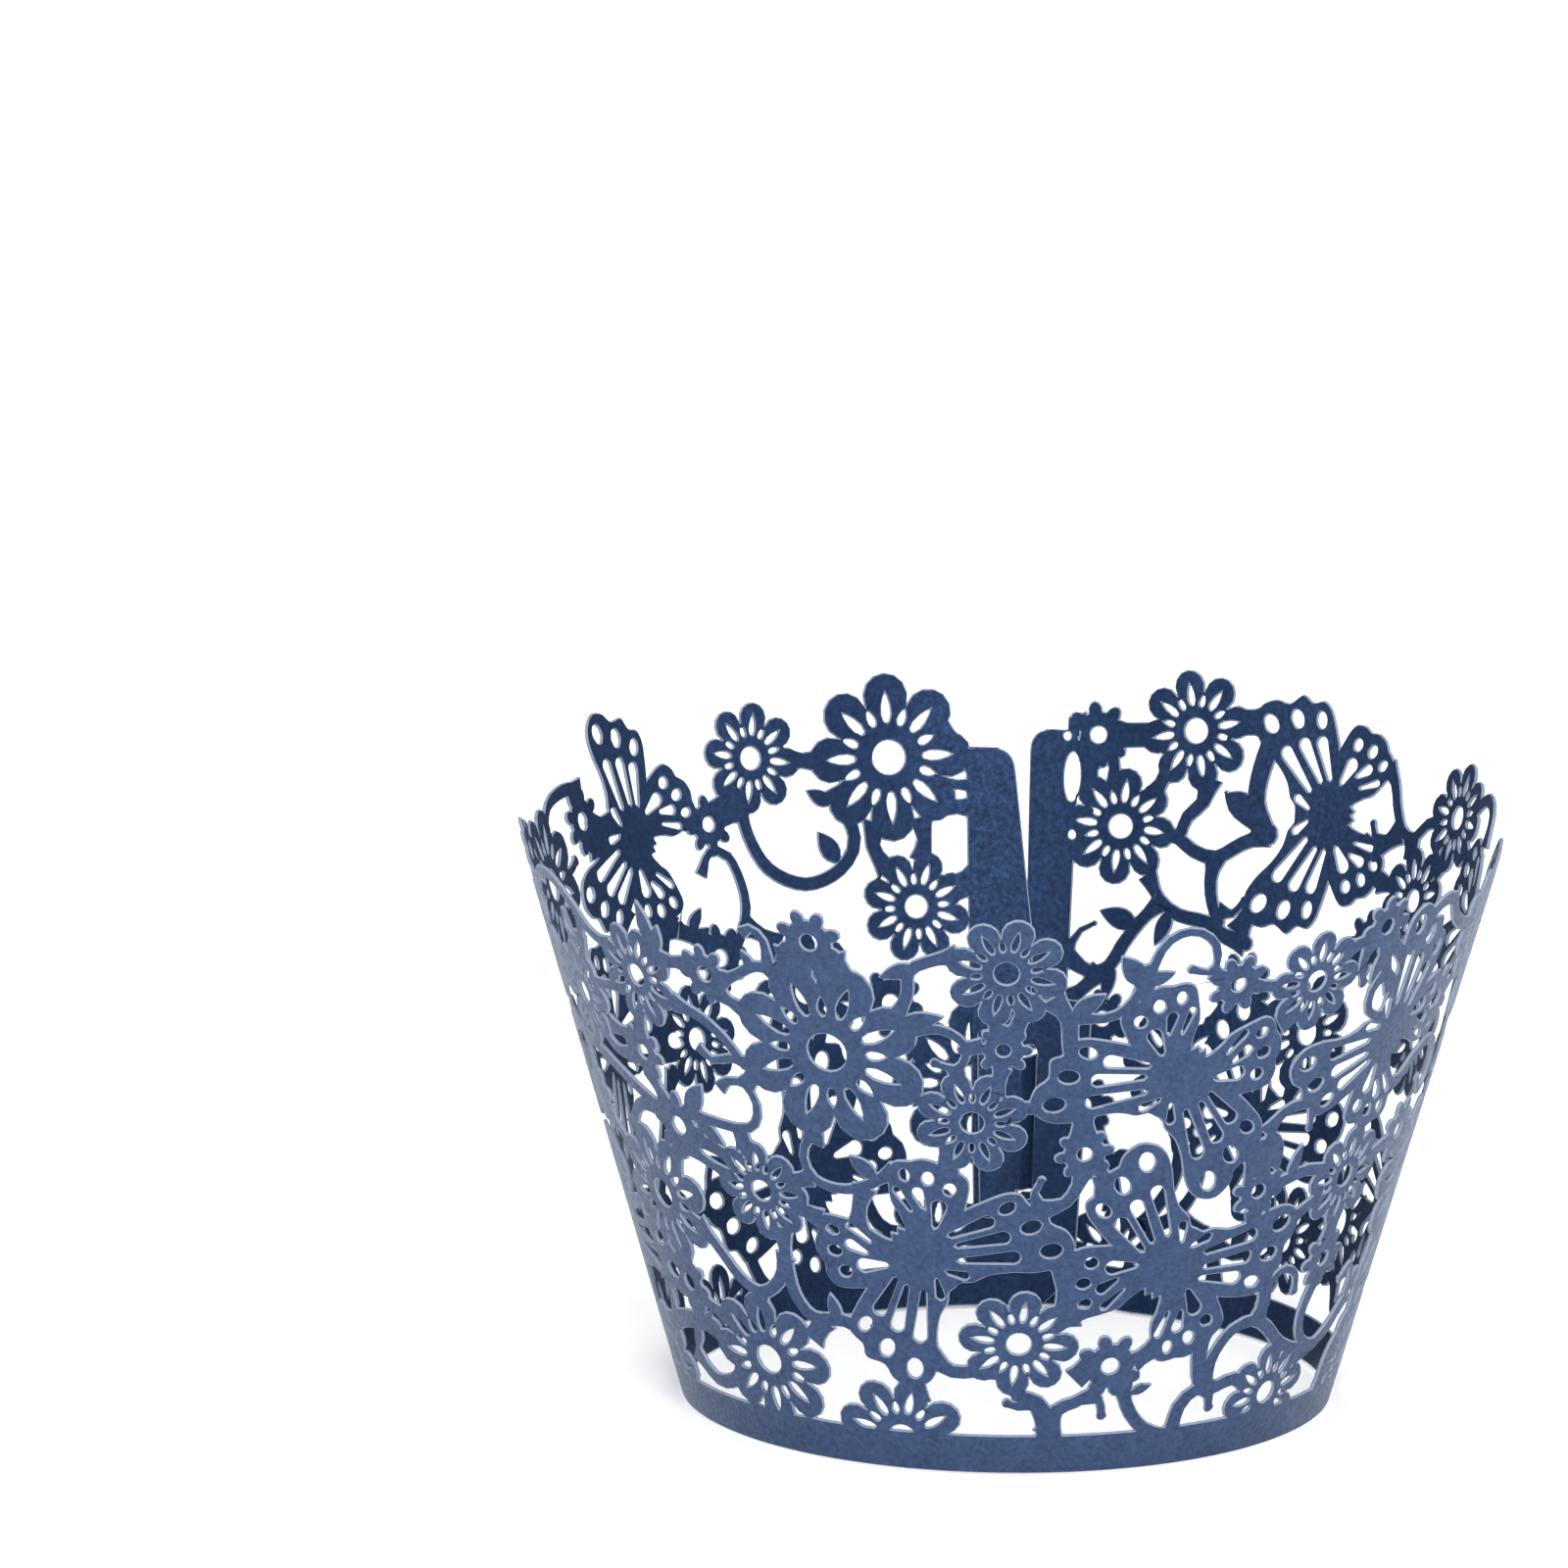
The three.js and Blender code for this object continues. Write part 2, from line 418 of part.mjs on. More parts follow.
// The drawing: round the sides and low at the back
const SIDE_DAISIES = [
  [[77.6, 42.6], 4.9, 10], [[78.5, 21.2], 6.4, 0], [[77.5, 5.4], 5.4, 0], [[104.2, 28.4], 5.2, 12],
  [[112.4, 11.6], 5.4, 0], [[-83.6, 39.6], 5.0, 10], [[-76, 4.4], 5.0, 0], [[-100.4, 41.2], 6.3, 22],
  [[-104.6, 9.4], 5.6, 0], [[-89.5, 28.6], 5.0, 12], [[-150.6, 26.4], 5.0, 0], [[132.4, 25.0], 5.0, 12],
];
const SIDE_STARS = [
  [[68.4, 26.0], 2.9], [[67.6, 37.8], 2.9], [[87.4, 28.8], 2.9], [[-75.2, 27.4], 2.9],
  [[-92.0, 45.6], 2.9], [[-113.4, 44.6], 2.8], [[124.4, 33.4], 2.8],
  [[145.4, 27.6], 2.9], [[166.4, 23.4], 2.5], [[-137.2, 30.2], 2.9], [[-163.2, 24.8], 2.9],
];
const SIDE_BUTTERFLIES = [
  [[94.2, 39.8], 75, 0.95], [[95.4, 15.6], 250, 0.95], [[-83.4, 15.4], 120, 1], [[-107.6, 26.4], 60, 0.95],
];

// Strip of the blank between two places round and two places up, its long sides curved with the band
function strip(from, to, low, high) {
  const steps = Math.max(1, Math.ceil(Math.abs(to - from) / BAND_STEP));
  const under = [];
  const over = [];
  for (let i = 0; i <= steps; i += 1) {
    const round = THREE.MathUtils.lerp(from, to, i / steps);
    under.push(blankPoint(round, low));
    over.push(blankPoint(round, high));
  }
  return [...under, ...over.reverse()];
}

// Millimetres round the cone as degrees, at a height up the slope
function roundOf(length, up) {
  return length / ((apex + up) * taper * degrees);
}

// Outline of places [round, up], each corner with a radius cut by a short curve, the level edges curved with the band
function trimmed(corners) {
  const points = [];
  corners.forEach(([round, up, radius = 0], i) => {
    const here = blankPoint(round, up);
    const [before, after] = [corners.at(i - 1), corners[(i + 1) % corners.length]];
    const level = up === before[1] ? Math.floor(Math.abs(round - before[0]) / PANEL_STEP) : 0;
    for (let k = 1; k < level; k += 1) {
      points.push(blankPoint(THREE.MathUtils.lerp(before[0], round, k / level), up));
    }
    if (radius === 0) {
      points.push(here);
      return;
    }
    const start = blankPoint(before[0], before[1]).sub(here).setLength(radius).add(here);
    const end = blankPoint(after[0], after[1]).sub(here).setLength(radius).add(here);
    points.push(...new THREE.QuadraticBezierCurve(start, here, end).getPoints(4));
  });
  return points;
}

// End panel A, inside at the closure: a wide foot with a cut corner, a narrow top and the slit
function panelA() {
  const { lace, edge, foot, footTop, top, chamfer } = PANEL_A;
  const inset = foot + roundOf(chamfer, 0);
  const outline = trimmed([
    [lace, 0], [lace, top * stretchUp], [edge, top * stretchUp, CORNER], [edge, footTop * stretchUp],
    [foot, footTop * stretchUp, CORNER], [foot, chamfer], [inset, 0],
  ]);
  const half = roundOf(SLIT.width / 2, SLIT.low);
  const slit = strip(SLIT.at - half, SLIT.at + half, SLIT.low * stretchUp, SLIT.high * stretchUp);
  const reliefs = [SLIT.low, SLIT.high].map((up) => {
    const centre = blankPoint(SLIT.at, up * stretchUp);
    return disc(centre.x, centre.y, SLIT.relief / 2).map(([x, y]) => new THREE.Vector2(x, y));
  });
  return { outline: [outline], windows: [slit, ...reliefs] };
}

// End panel B, outside at the closure, with the tongue that goes through the slit
function panelB() {
  const { lace, edge, top } = PANEL_B;
  const panel = trimmed([[lace, 0], [edge, 0], [edge, top * stretchUp, CORNER], [lace, top * stretchUp]]);
  const [low, high] = [SLIT.low * stretchUp, SLIT.high * stretchUp];
  const head = edge + roundOf(TONGUE.cut, low);
  const tip = head + roundOf(TONGUE.reach, low);
  const neck = strip(edge - 1, head + 1, low + TONGUE.cut / 2, high - TONGUE.cut / 2);
  const hooks = trimmed([
    [head, low - TONGUE.overhang, TONGUE.corner], [tip, low - TONGUE.overhang, TONGUE.corner],
    [tip, high + TONGUE.overhang, TONGUE.corner], [head, high + TONGUE.overhang, TONGUE.corner],
  ]);
  const cuts = [low, high].map((up) => (
    strip(SLOT.from, edge + 0.5, up - TONGUE.cut / 2, up + TONGUE.cut / 2)
  ));
  return { outline: [panel, neck, hooks], windows: cuts };
}

// How far the card lies outside its cone, at a place: end B rides over end A, and its tongue dives through
function lift(round, up) {
  const over = CARD + LAYER_GAP;
  if (round < LAP.from) return 0;
  const rise = over * THREE.MathUtils.smoothstep(round, LAP.from, LAP.to);
  const inTongue = up > (SLIT.low - TONGUE.overhang) * stretchUp - 1 && up < (SLIT.high + TONGUE.overhang) * stretchUp + 1;
  const inNeck = up > SLIT.low * stretchUp && up < SLIT.high * stretchUp;
  if (!(inNeck || (inTongue && round > PANEL_B.edge + 0.2))) return rise;
  const half = roundOf(SLIT.width / 2, SLIT.low * stretchUp);
  const through = THREE.MathUtils.clamp((round - (360 + SLIT.at - half)) / (2 * half), 0, 1);
  return THREE.MathUtils.lerp(rise, -over, through);
}

// Place on the rolled cone of a point of the blank, on its outer (1), middle (0) or inner (-1) face
function rolled([x, y], face) {
  const [round, up] = blankPlace(x, y);
  const radius = BASE_DIAMETER / 2 + up * taper + (face - 1) * CARD / 2 + lift(round, up);
  const angle = round * degrees;
  return new THREE.Vector3(radius * Math.sin(angle), -radius * Math.cos(angle), (up * HEIGHT) / slope);
}

// Upper face of a flat plate as points and triangles
function upperFace(plateSolid) {
  const mesh = plateSolid.getMesh();
  const points = [];
  const found = new Map();
  const indexOf = (vertex) => {
    if (!found.has(vertex)) {
      found.set(vertex, points.length);
      points.push([mesh.vertProperties[vertex * mesh.numProp], mesh.vertProperties[vertex * mesh.numProp + 1]]);
    }
    return found.get(vertex);
  };
  const triangles = [];
  for (let i = 0; i < mesh.triVerts.length; i += 3) {
    const corners = [...mesh.triVerts.slice(i, i + 3)];
    if (corners.every((v) => mesh.vertProperties[v * mesh.numProp + 2] > 0.5)) triangles.push(corners.map(indexOf));
  }
  return { points, triangles };
}

const edgeKey = (a, b) => (a < b ? `${a}_${b}` : `${b}_${a}`);

function edgesOf(triangles) {
  const edges = new Map();
  triangles.forEach((corners, index) => {
    corners.forEach((a, i) => {
      const key = edgeKey(a, corners[(i + 1) % 3]);
      if (!edges.has(key)) edges.set(key, []);
      edges.get(key).push(index);
    });
  });
  return edges;
}

function area(points, [a, b, c]) {
  const [[ax, ay], [bx, by], [cx, cy]] = [points[a], points[b], points[c]];
  return ((bx - ax) * (cy - ay) - (cx - ax) * (by - ay)) / 2;
}

function angleAt(points, at, b, c) {
  const [p, q, r] = [points[at], points[b], points[c]];
  const one = Math.atan2(q[1] - p[1], q[0] - p[0]);
  const two = Math.atan2(r[1] - p[1], r[0] - p[0]);
  const turn = Math.abs(one - two);
  return Math.min(turn, 2 * Math.PI - turn);
}

// Turn the shared edge of two triangles wherever that makes both fuller
function evened({ points, triangles }) {
  for (let pass = 0; pass < 12; pass += 1) {
    let turned = 0;
    const touched = new Set();
    for (const [key, owners] of edgesOf(triangles)) {
      if (owners.length !== 2 || touched.has(owners[0]) || touched.has(owners[1])) continue;
      const [a, b] = key.split('_').map(Number);
      const [first, second] = owners.map((owner) => triangles[owner]);
      const c = first.find((v) => v !== a && v !== b);
      const d = second.find((v) => v !== a && v !== b);
      if (angleAt(points, c, a, b) + angleAt(points, d, a, b) < Math.PI + 1e-6) continue;
      const forward = first[(first.indexOf(a) + 1) % 3] === b;
      const one = forward ? [a, d, c] : [a, c, d];
      const two = forward ? [d, b, c] : [c, b, d];
      if (area(points, one) < 1e-5 || area(points, two) < 1e-5) continue;
      triangles[owners[0]] = one;
      triangles[owners[1]] = two;
      touched.add(owners[0]).add(owners[1]);
      turned += 1;
    }
    if (turned === 0) break;
  }
  return { points, triangles };
}

// Drop the contour points above the base edge that stand off the line between their neighbours by less than
// the tolerance
function thinned({ points, triangles }, tolerance) {
  let kept = triangles;
  for (let pass = 0; pass < 6; pass += 1) {
    const next = new Map();
    const edges = edgesOf(kept);
    const around = new Map(points.map((_, v) => [v, []]));
    for (const corners of kept) {
      corners.forEach((a, i) => {
        around.get(a).push(corners);
        const b = corners[(i + 1) % 3];
        if (edges.get(edgeKey(a, b)).length === 1) next.set(a, next.has(a) ? null : b);
      });
    }
    const moves = new Map();
    const busy = new Set();
    for (const [before, at] of next) {
      const after = next.get(at);
      if (at === null || after === null || busy.has(at) || busy.has(before) || busy.has(after)) continue;
      if (blankPlace(...points[at])[1] < BAND / 2) continue;
      const span = Math.hypot(points[after][0] - points[before][0], points[after][1] - points[before][1]);
      if (Math.abs(area(points, [before, at, after])) * 2 > tolerance * span) continue;
      const owned = around.get(at);
      const near = new Set(owned.flat());
      const target = [before, after].find((to) => {
        const shared = new Set(around.get(to).flat().filter((v) => near.has(v) && v !== at && v !== to));
        const left = owned.filter((corners) => !corners.includes(to));
        return shared.size === 1 && left.every((corners) => (
          area(points, corners.map((v) => (v === at ? to : v))) > 0.002
        ));
      });
      if (target === undefined) continue;
      moves.set(at, target);
      near.forEach((v) => busy.add(v));
    }
    if (moves.size === 0) break;
    kept = kept
      .map((corners) => corners.map((v) => moves.get(v) ?? v))
      .filter((corners) => new Set(corners).size === 3);
    evened({ points, triangles: kept });
  }
  return { points, triangles: kept };
}

// Split each edge that would stand off the rolled surface by more than the tolerance
function refined({ points, triangles }, tolerance) {
  for (let pass = 0; pass < 12; pass += 1) {
    const marked = [];
    for (const [key, owners] of edgesOf(triangles)) {
      const [a, b] = key.split('_').map(Number);
      const middle = [(points[a][0] + points[b][0]) / 2, (points[a][1] + points[b][1]) / 2];
      const chord = rolled(points[a], 0).add(rolled(points[b], 0)).multiplyScalar(0.5);
      const error = chord.distanceTo(rolled(middle, 0));
      const limit = Math.abs(blankPlace(...middle)[0]) > LAP.from ? tolerance / 2 : tolerance;
      if (error > limit) marked.push({ a, b, owners, middle, error });
    }
    if (marked.length === 0) break;
    marked.sort((one, two) => two.error - one.error);
    const touched = new Set();
    for (const { a, b, owners, middle } of marked) {
      if (owners.some((owner) => touched.has(owner))) continue;
      const added = points.push(middle) - 1;
      for (const owner of owners) {
        touched.add(owner);
        const corners = triangles[owner];
        triangles[owner] = corners.map((v) => (v === b ? added : v));
        triangles.push(corners.map((v) => (v === a ? added : v)));
      }
    }
    evened({ points, triangles });
  }
  return { points, triangles };
}

// Closed sheet: the face twice, a card's thickness apart, with a wall along each free edge
function rolledSheet({ points, triangles }) {
  const count = points.length;
  const positions = [...points.map((p) => rolled(p, 1)), ...points.map((p) => rolled(p, -1))];
  const index = [];
  for (const [a, b, c] of triangles) index.push(a, b, c, b + count, a + count, c + count);
  const sides = edgesOf(triangles);
  for (const corners of triangles) {
    corners.forEach((a, i) => {
      const b = corners[(i + 1) % 3];
      if (sides.get(edgeKey(a, b)).length === 1) index.push(b, a, a + count, b, a + count, b + count);
    });
  }
  const geometry = new THREE.BufferGeometry();
  geometry.setAttribute('position', new THREE.Float32BufferAttribute(positions.flatMap((p) => p.toArray()), 3));
  geometry.setIndex(index);
  geometry.computeVertexNormals();
  return geometry;
}

// The lace, kept between the panels and above the base edge, then the band and the panels over it
function blank() {
  const motifs = [
    ...[...DAISIES, ...SIDE_DAISIES].map(([place, radius, turn]) => daisy(place, radius, turn)),
    ...[...STARS, ...SIDE_STARS].map(([place, radius]) => star(place, radius)),
    ...[...BUTTERFLIES, ...SIDE_BUTTERFLIES].map(([place, head, scale]) => butterfly(place, head, scale)),
    ...TENDRILS.map(([places, width, endWidth]) => stroke(places, width, endWidth)),
    ...LEAVES.map(([foot, tip, width]) => leaf(foot, tip, width)),
  ];
  const lace = joined(motifs.flatMap((motif) => motif.outline.map(plate)));
  const windows = joined(motifs.flatMap((motif) => motif.windows.map(plate)));
  const field = plate(strip(PANEL_A.lace - 0.5, PANEL_B.lace + 0.5, 0, slope + 2));
  const band = plate(strip(PANEL_A.lace - 0.5, PANEL_B.lace + 0.5, 0, BAND));
  let sheet = lace.subtract(windows).intersect(field).add(band);
  for (const panel of [panelA(), panelB()]) {
    sheet = sheet.add(joined(panel.outline.map(plate)));
    if (panel.windows.length > 0) sheet = sheet.subtract(joined(panel.windows.map(plate)));
  }
  return sheet;
}

const face = thinned(evened(upperFace(blank())), CONTOUR_TOLERANCE);
const geometry = rolledSheet(refined(face, CURVE_TOLERANCE));
const card = new THREE.MeshStandardMaterial({ color: 0x4a6490, roughness: 0.5, metalness: 0.15 });
const wrapper = new THREE.Mesh(geometry, card);
wrapper.name = 'wrapper';

const cupcakeWrapper = new THREE.Group();
cupcakeWrapper.add(wrapper);
export default cupcakeWrapper;
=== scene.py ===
"""Laser-cut lace cupcake wrapper: one blank of pearl card, rolled to a cone and held by its own tongue and slit.

Places on the blank are (round, up): degrees round the cone from the front towards +X, and millimetres up the
slope from the base edge. Inside a motif, x runs round and y up the slope, in millimetres.
"""

import logging
import math
from dataclasses import dataclass
from enum import Enum

import bpy
from mathutils import Matrix, Vector
from mathutils.geometry import delaunay_2d_cdt
from mathutils.kdtree import KDTree

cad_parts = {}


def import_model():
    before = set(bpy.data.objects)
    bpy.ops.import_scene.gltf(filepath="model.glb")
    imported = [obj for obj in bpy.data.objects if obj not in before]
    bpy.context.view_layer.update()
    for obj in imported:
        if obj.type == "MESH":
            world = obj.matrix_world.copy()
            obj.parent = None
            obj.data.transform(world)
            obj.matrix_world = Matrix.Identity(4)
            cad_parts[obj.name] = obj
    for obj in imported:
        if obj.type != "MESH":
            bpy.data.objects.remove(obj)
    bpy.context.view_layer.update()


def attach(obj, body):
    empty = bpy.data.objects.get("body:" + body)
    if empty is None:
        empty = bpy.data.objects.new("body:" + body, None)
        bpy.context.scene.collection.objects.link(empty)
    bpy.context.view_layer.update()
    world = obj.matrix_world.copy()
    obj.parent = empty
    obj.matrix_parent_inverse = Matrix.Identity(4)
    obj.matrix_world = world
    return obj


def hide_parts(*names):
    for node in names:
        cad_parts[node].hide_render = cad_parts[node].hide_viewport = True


LOG = logging.getLogger("cupcake_wrapper")
MM = 0.001
CHORD = 1.5  # longest chord of an edge that follows the cone, in degrees round
PETALS = 8
PETAL_ANGLE = 360 / PETALS
Point = tuple[float, float]
Outline = list[Point]
Point3 = tuple[float, float, float]


class Area(Enum):
    """What an outline on the blank stands for."""

    LACE = "lace"
    LACE_WINDOW = "lace window"
    FIELD = "field that the lace is kept to"
    CARD = "band, panel or tongue"
    CARD_WINDOW = "slit or cut in a panel"


# Curves


def arc(centre: Point, radius: float, start: float, end: float, steps: int) -> Outline:
    """Points of an arc, both ends included.

    Args:
        centre: centre of the arc.
        radius: radius in millimetres.
        start: angle of the first point, in degrees.
        end: angle of the last point, in degrees.
        steps: number of chords.

    Returns:
        The points, in order.
    """
    angles = [math.radians(start + (end - start) * i / steps) for i in range(steps + 1)]
    return [(centre[0] + radius * math.cos(a), centre[1] + radius * math.sin(a)) for a in angles]


def ring(centre: Point, radius: float, steps: int) -> Outline:
    """Closed circle as a number of points."""
    return arc(centre, radius, 0, 360, steps)[:-1]


def turned(points: Outline, degrees: float) -> Outline:
    """Points turned about the origin by an angle in degrees."""
    cos, sin = math.cos(math.radians(degrees)), math.sin(math.radians(degrees))
    return [(x * cos - y * sin, x * sin + y * cos) for x, y in points]


def oval(centre: Point, across: float, along: float, heading: float, steps: int = 14) -> Outline:
    """Ellipse with its long axis at a heading.

    Args:
        centre: centre of the ellipse.
        across: width across the heading.
        along: length along the heading.
        heading: direction of the long axis, in degrees.
        steps: number of points.

    Returns:
        The closed outline.
    """
    shape = turned([(x * along / 2, y * across / 2) for x, y in ring((0, 0), 1, steps)], heading)
    return [(centre[0] + x, centre[1] + y) for x, y in shape]


def drop(narrow: Point, wide: Point, width: float, tail: float = 0.35) -> Outline:
    """Drop-shaped window, narrow at one end and round at the other.

    Args:
        narrow: the narrow end.
        wide: the round end's tip.
        width: width at the round end.
        tail: share of the width that the narrow end has.

    Returns:
        The closed outline.
    """
    length = math.dist(narrow, wide)
    heading = math.degrees(math.atan2(wide[1] - narrow[1], wide[0] - narrow[0]))
    foot = arc((tail * width / 2, 0), tail * width / 2, 270, 90, 2)
    head = arc((length - width / 2, 0), width / 2, 90, -90, 7)
    return [(narrow[0] + x, narrow[1] + y) for x, y in turned(foot + head, heading)]


def eye_slot(inner: float, outer: float, width: float) -> Outline:
    """Slot in a petal, full at its inner third and pointed outwards.

    Args:
        inner: distance of its inner end from the middle.
        outer: distance of its outer end from the middle.
        width: its greatest width.

    Returns:
        The closed outline, along +x.
    """
    shares = ((0.05, 0.55), (0.27, 1.0), (0.58, 0.9), (0.85, 0.45))
    side = [(inner + (outer - inner) * t, width / 2 * w) for t, w in shares]
    return [(inner, 0.0)] + [(x, -y) for x, y in side] + [(outer, 0.0)] + list(reversed(side))


def blended(a: float, b: float, c: float, d: float, t: float) -> float:
    """Value of a smooth curve between b and c, at a share t of the way."""
    return 0.5 * (2 * b + (c - a) * t + (2 * a - 5 * b + 4 * c - d) * t * t + (3 * b - a - 3 * c + d) * t**3)


def through(points: Outline, step: float) -> Outline:
    """Smooth curve through points, evenly cut.

    Args:
        points: the points that the curve passes through.
        step: length of its chords in millimetres.

    Returns:
        Points along the curve, both ends included.
    """
    made: Outline = []
    for i, (here, there) in enumerate(zip(points, points[1:])):
        before = points[i - 1] if i > 0 else (2 * here[0] - there[0], 2 * here[1] - there[1])
        after = points[i + 2] if i + 2 < len(points) else (2 * there[0] - here[0], 2 * there[1] - here[1])
        cuts = max(1, round(math.dist(here, there) / step))
        for k in range(cuts):
            made.append(tuple(blended(*knots, k / cuts) for knots in zip(before, here, there, after)))
    return [*made, points[-1]]


def petals(count: int, radius: float, valley: float, steps: int) -> Outline:
    """Flower outline of round lobes that meet in valleys.

    Args:
        count: number of lobes.
        radius: distance of a lobe's tip from the middle.
        valley: distance of a valley from the middle.
        steps: chords in each lobe.

    Returns:
        The closed outline, a lobe's tip on +x.
    """
    half = math.radians(180 / count)
    vx, vy = valley * math.cos(half), valley * math.sin(half)
    middle = (radius * radius - vx * vx - vy * vy) / (2 * (radius - vx))
    open_angle = math.degrees(math.atan2(vy, vx - middle))
    lobe = arc((middle, 0), radius - middle, -open_angle, open_angle, steps)[:-1]
    return [p for i in range(count) for p in turned(lobe, i * 360 / count)]


# The blank


@dataclass(frozen=True)
class Cone:
    """The wrapper's cone and its flat blank, a sector of a ring, in millimetres."""

    base_diameter: float = 52.0
    rim_diameter: float = 80.7
    height: float = 49.3
    card: float = 0.3

    @property
    def slope(self) -> float:
        """Length up the slope from the base edge to the rim line."""
        return math.hypot((self.rim_diameter - self.base_diameter) / 2, self.height)

    @property
    def taper(self) -> float:
        """Sine of the half angle at the cone's point."""
        return (self.rim_diameter - self.base_diameter) / 2 / self.slope

    @property
    def apex(self) -> float:
        """Distance up the slope from the cone's point to the base edge."""
        return self.base_diameter / 2 / self.taper

    def flat(self, around: float, up: float) -> Point:
        """Point of the flat blank for a place round and up."""
        angle = math.radians(around) * self.taper
        return (self.apex + up) * math.sin(angle), (self.apex + up) * math.cos(angle)

    def place(self, x: float, y: float) -> Point:
        """Place round and up of a point of the flat blank."""
        return math.degrees(math.atan2(x, y) / self.taper), math.hypot(x, y) - self.apex

    def degrees(self, length: float, up: float) -> float:
        """Length round the cone at a height up the slope, as degrees."""
        return math.degrees(length / ((self.apex + up) * self.taper))

    def lay(self, points: Outline, place: Point, turn: float = 0.0, scale: float = 1.0) -> Outline:
        """Motif outline laid on the blank.

        Args:
            points: outline in the motif's own frame.
            place: place round and up of its middle.
            turn: turn in degrees.
            scale: size against the drawn one.

        Returns:
            The outline on the blank.
        """
        centre = self.flat(*place)
        along = -math.degrees(math.radians(place[0]) * self.taper)
        return [(centre[0] + scale * x, centre[1] + scale * y) for x, y in turned(points, turn + along)]

    def strip(self, start: float, end: float, low: float, high: float) -> Outline:
        """Strip of the blank between two places round and two places up.

        Args:
            start: first place round, in degrees.
            end: last place round, in degrees.
            low: lower edge up the slope.
            high: upper edge up the slope.

        Returns:
            The closed outline.
        """
        steps = max(1, math.ceil(abs(end - start) / CHORD))
        rounds = [start + (end - start) * i / steps for i in range(steps + 1)]
        return [self.flat(r, low) for r in rounds] + [self.flat(r, high) for r in reversed(rounds)]


# The motifs


class Motif:
    """One motif of the lace, cut out as the union of its outlines less its windows."""

    def outlines(self, cone: Cone) -> list[Outline]:
        """Its outlines on the blank, which each kind of motif draws."""
        raise NotImplementedError

    def windows(self, cone: Cone) -> list[Outline]:
        """Its windows on the blank: none, in a motif that doesn't draw any."""
        return []


@dataclass(frozen=True)
class Daisy(Motif):
    """Daisy of eight round petals, with a round eye and a ring of sixteen slots."""

    around: float
    up: float
    radius: float
    turn: float

    # The petals of a large daisy part less deeply.
    LARGE_RADIUS = 8.0
    # Shares of the radius: the valleys, the eye, and each slot's inner end, outer end and width
    VALLEY = 0.67
    LARGE_VALLEY = 0.72
    EYE = 0.2
    LONG_SLOT = (0.41, 0.76, 0.108)
    SHORT_SLOT = (0.4, 0.6, 0.088)
    PETAL_STEPS = 8
    EYE_STEPS = 20

    def outlines(self, cone: Cone) -> list[Outline]:
        """The eight petals as one outline.

        Args:
            cone: the blank.

        Returns:
            The outline on the blank.
        """
        valley = self.LARGE_VALLEY if self.radius > self.LARGE_RADIUS else self.VALLEY
        shape = petals(PETALS, self.radius, self.radius * valley, self.PETAL_STEPS)
        return [cone.lay(shape, (self.around, self.up), self.turn)]

    def windows(self, cone: Cone) -> list[Outline]:
        """The eye, a long slot in each petal and a short one between two.

        Args:
            cone: the blank.

        Returns:
            The windows on the blank.
        """
        long_slot = eye_slot(*(share * self.radius for share in self.LONG_SLOT))
        short_slot = eye_slot(*(share * self.radius for share in self.SHORT_SLOT))
        made = [ring((0, 0), self.EYE * self.radius, self.EYE_STEPS)]
        for i in range(PETALS):
            made += [turned(long_slot, i * PETAL_ANGLE), turned(short_slot, (i + 0.5) * PETAL_ANGLE)]
        return [cone.lay(points, (self.around, self.up), self.turn) for points in made]


@dataclass(frozen=True)
class SmallFlower(Motif):
    """Small flower of eight short petals round an eye."""

    around: float
    up: float
    radius: float

    # Shares of the radius: the disc, a lobe's middle, width and length, and the eye
    DISC = 0.69
    LOBE = (0.7, 0.43, 0.6)
    EYE = 0.24
    DISC_STEPS = 16
    LOBE_STEPS = 10
    EYE_STEPS = 14

    def outlines(self, cone: Cone) -> list[Outline]:
        """The flower's disc and its eight lobes.

        Args:
            cone: the blank.

        Returns:
            The outlines on the blank.
        """
        middle, across, along = (share * self.radius for share in self.LOBE)
        lobe = oval((middle, 0), across, along, 0, self.LOBE_STEPS)
        shapes = [ring((0, 0), self.DISC * self.radius, self.DISC_STEPS)]
        shapes += [turned(lobe, i * PETAL_ANGLE) for i in range(PETALS)]
        return [cone.lay(points, (self.around, self.up), self.around % PETAL_ANGLE) for points in shapes]

    def windows(self, cone: Cone) -> list[Outline]:
        """The eye on the blank."""
        return [cone.lay(ring((0, 0), self.EYE * self.radius, self.EYE_STEPS), (self.around, self.up))]


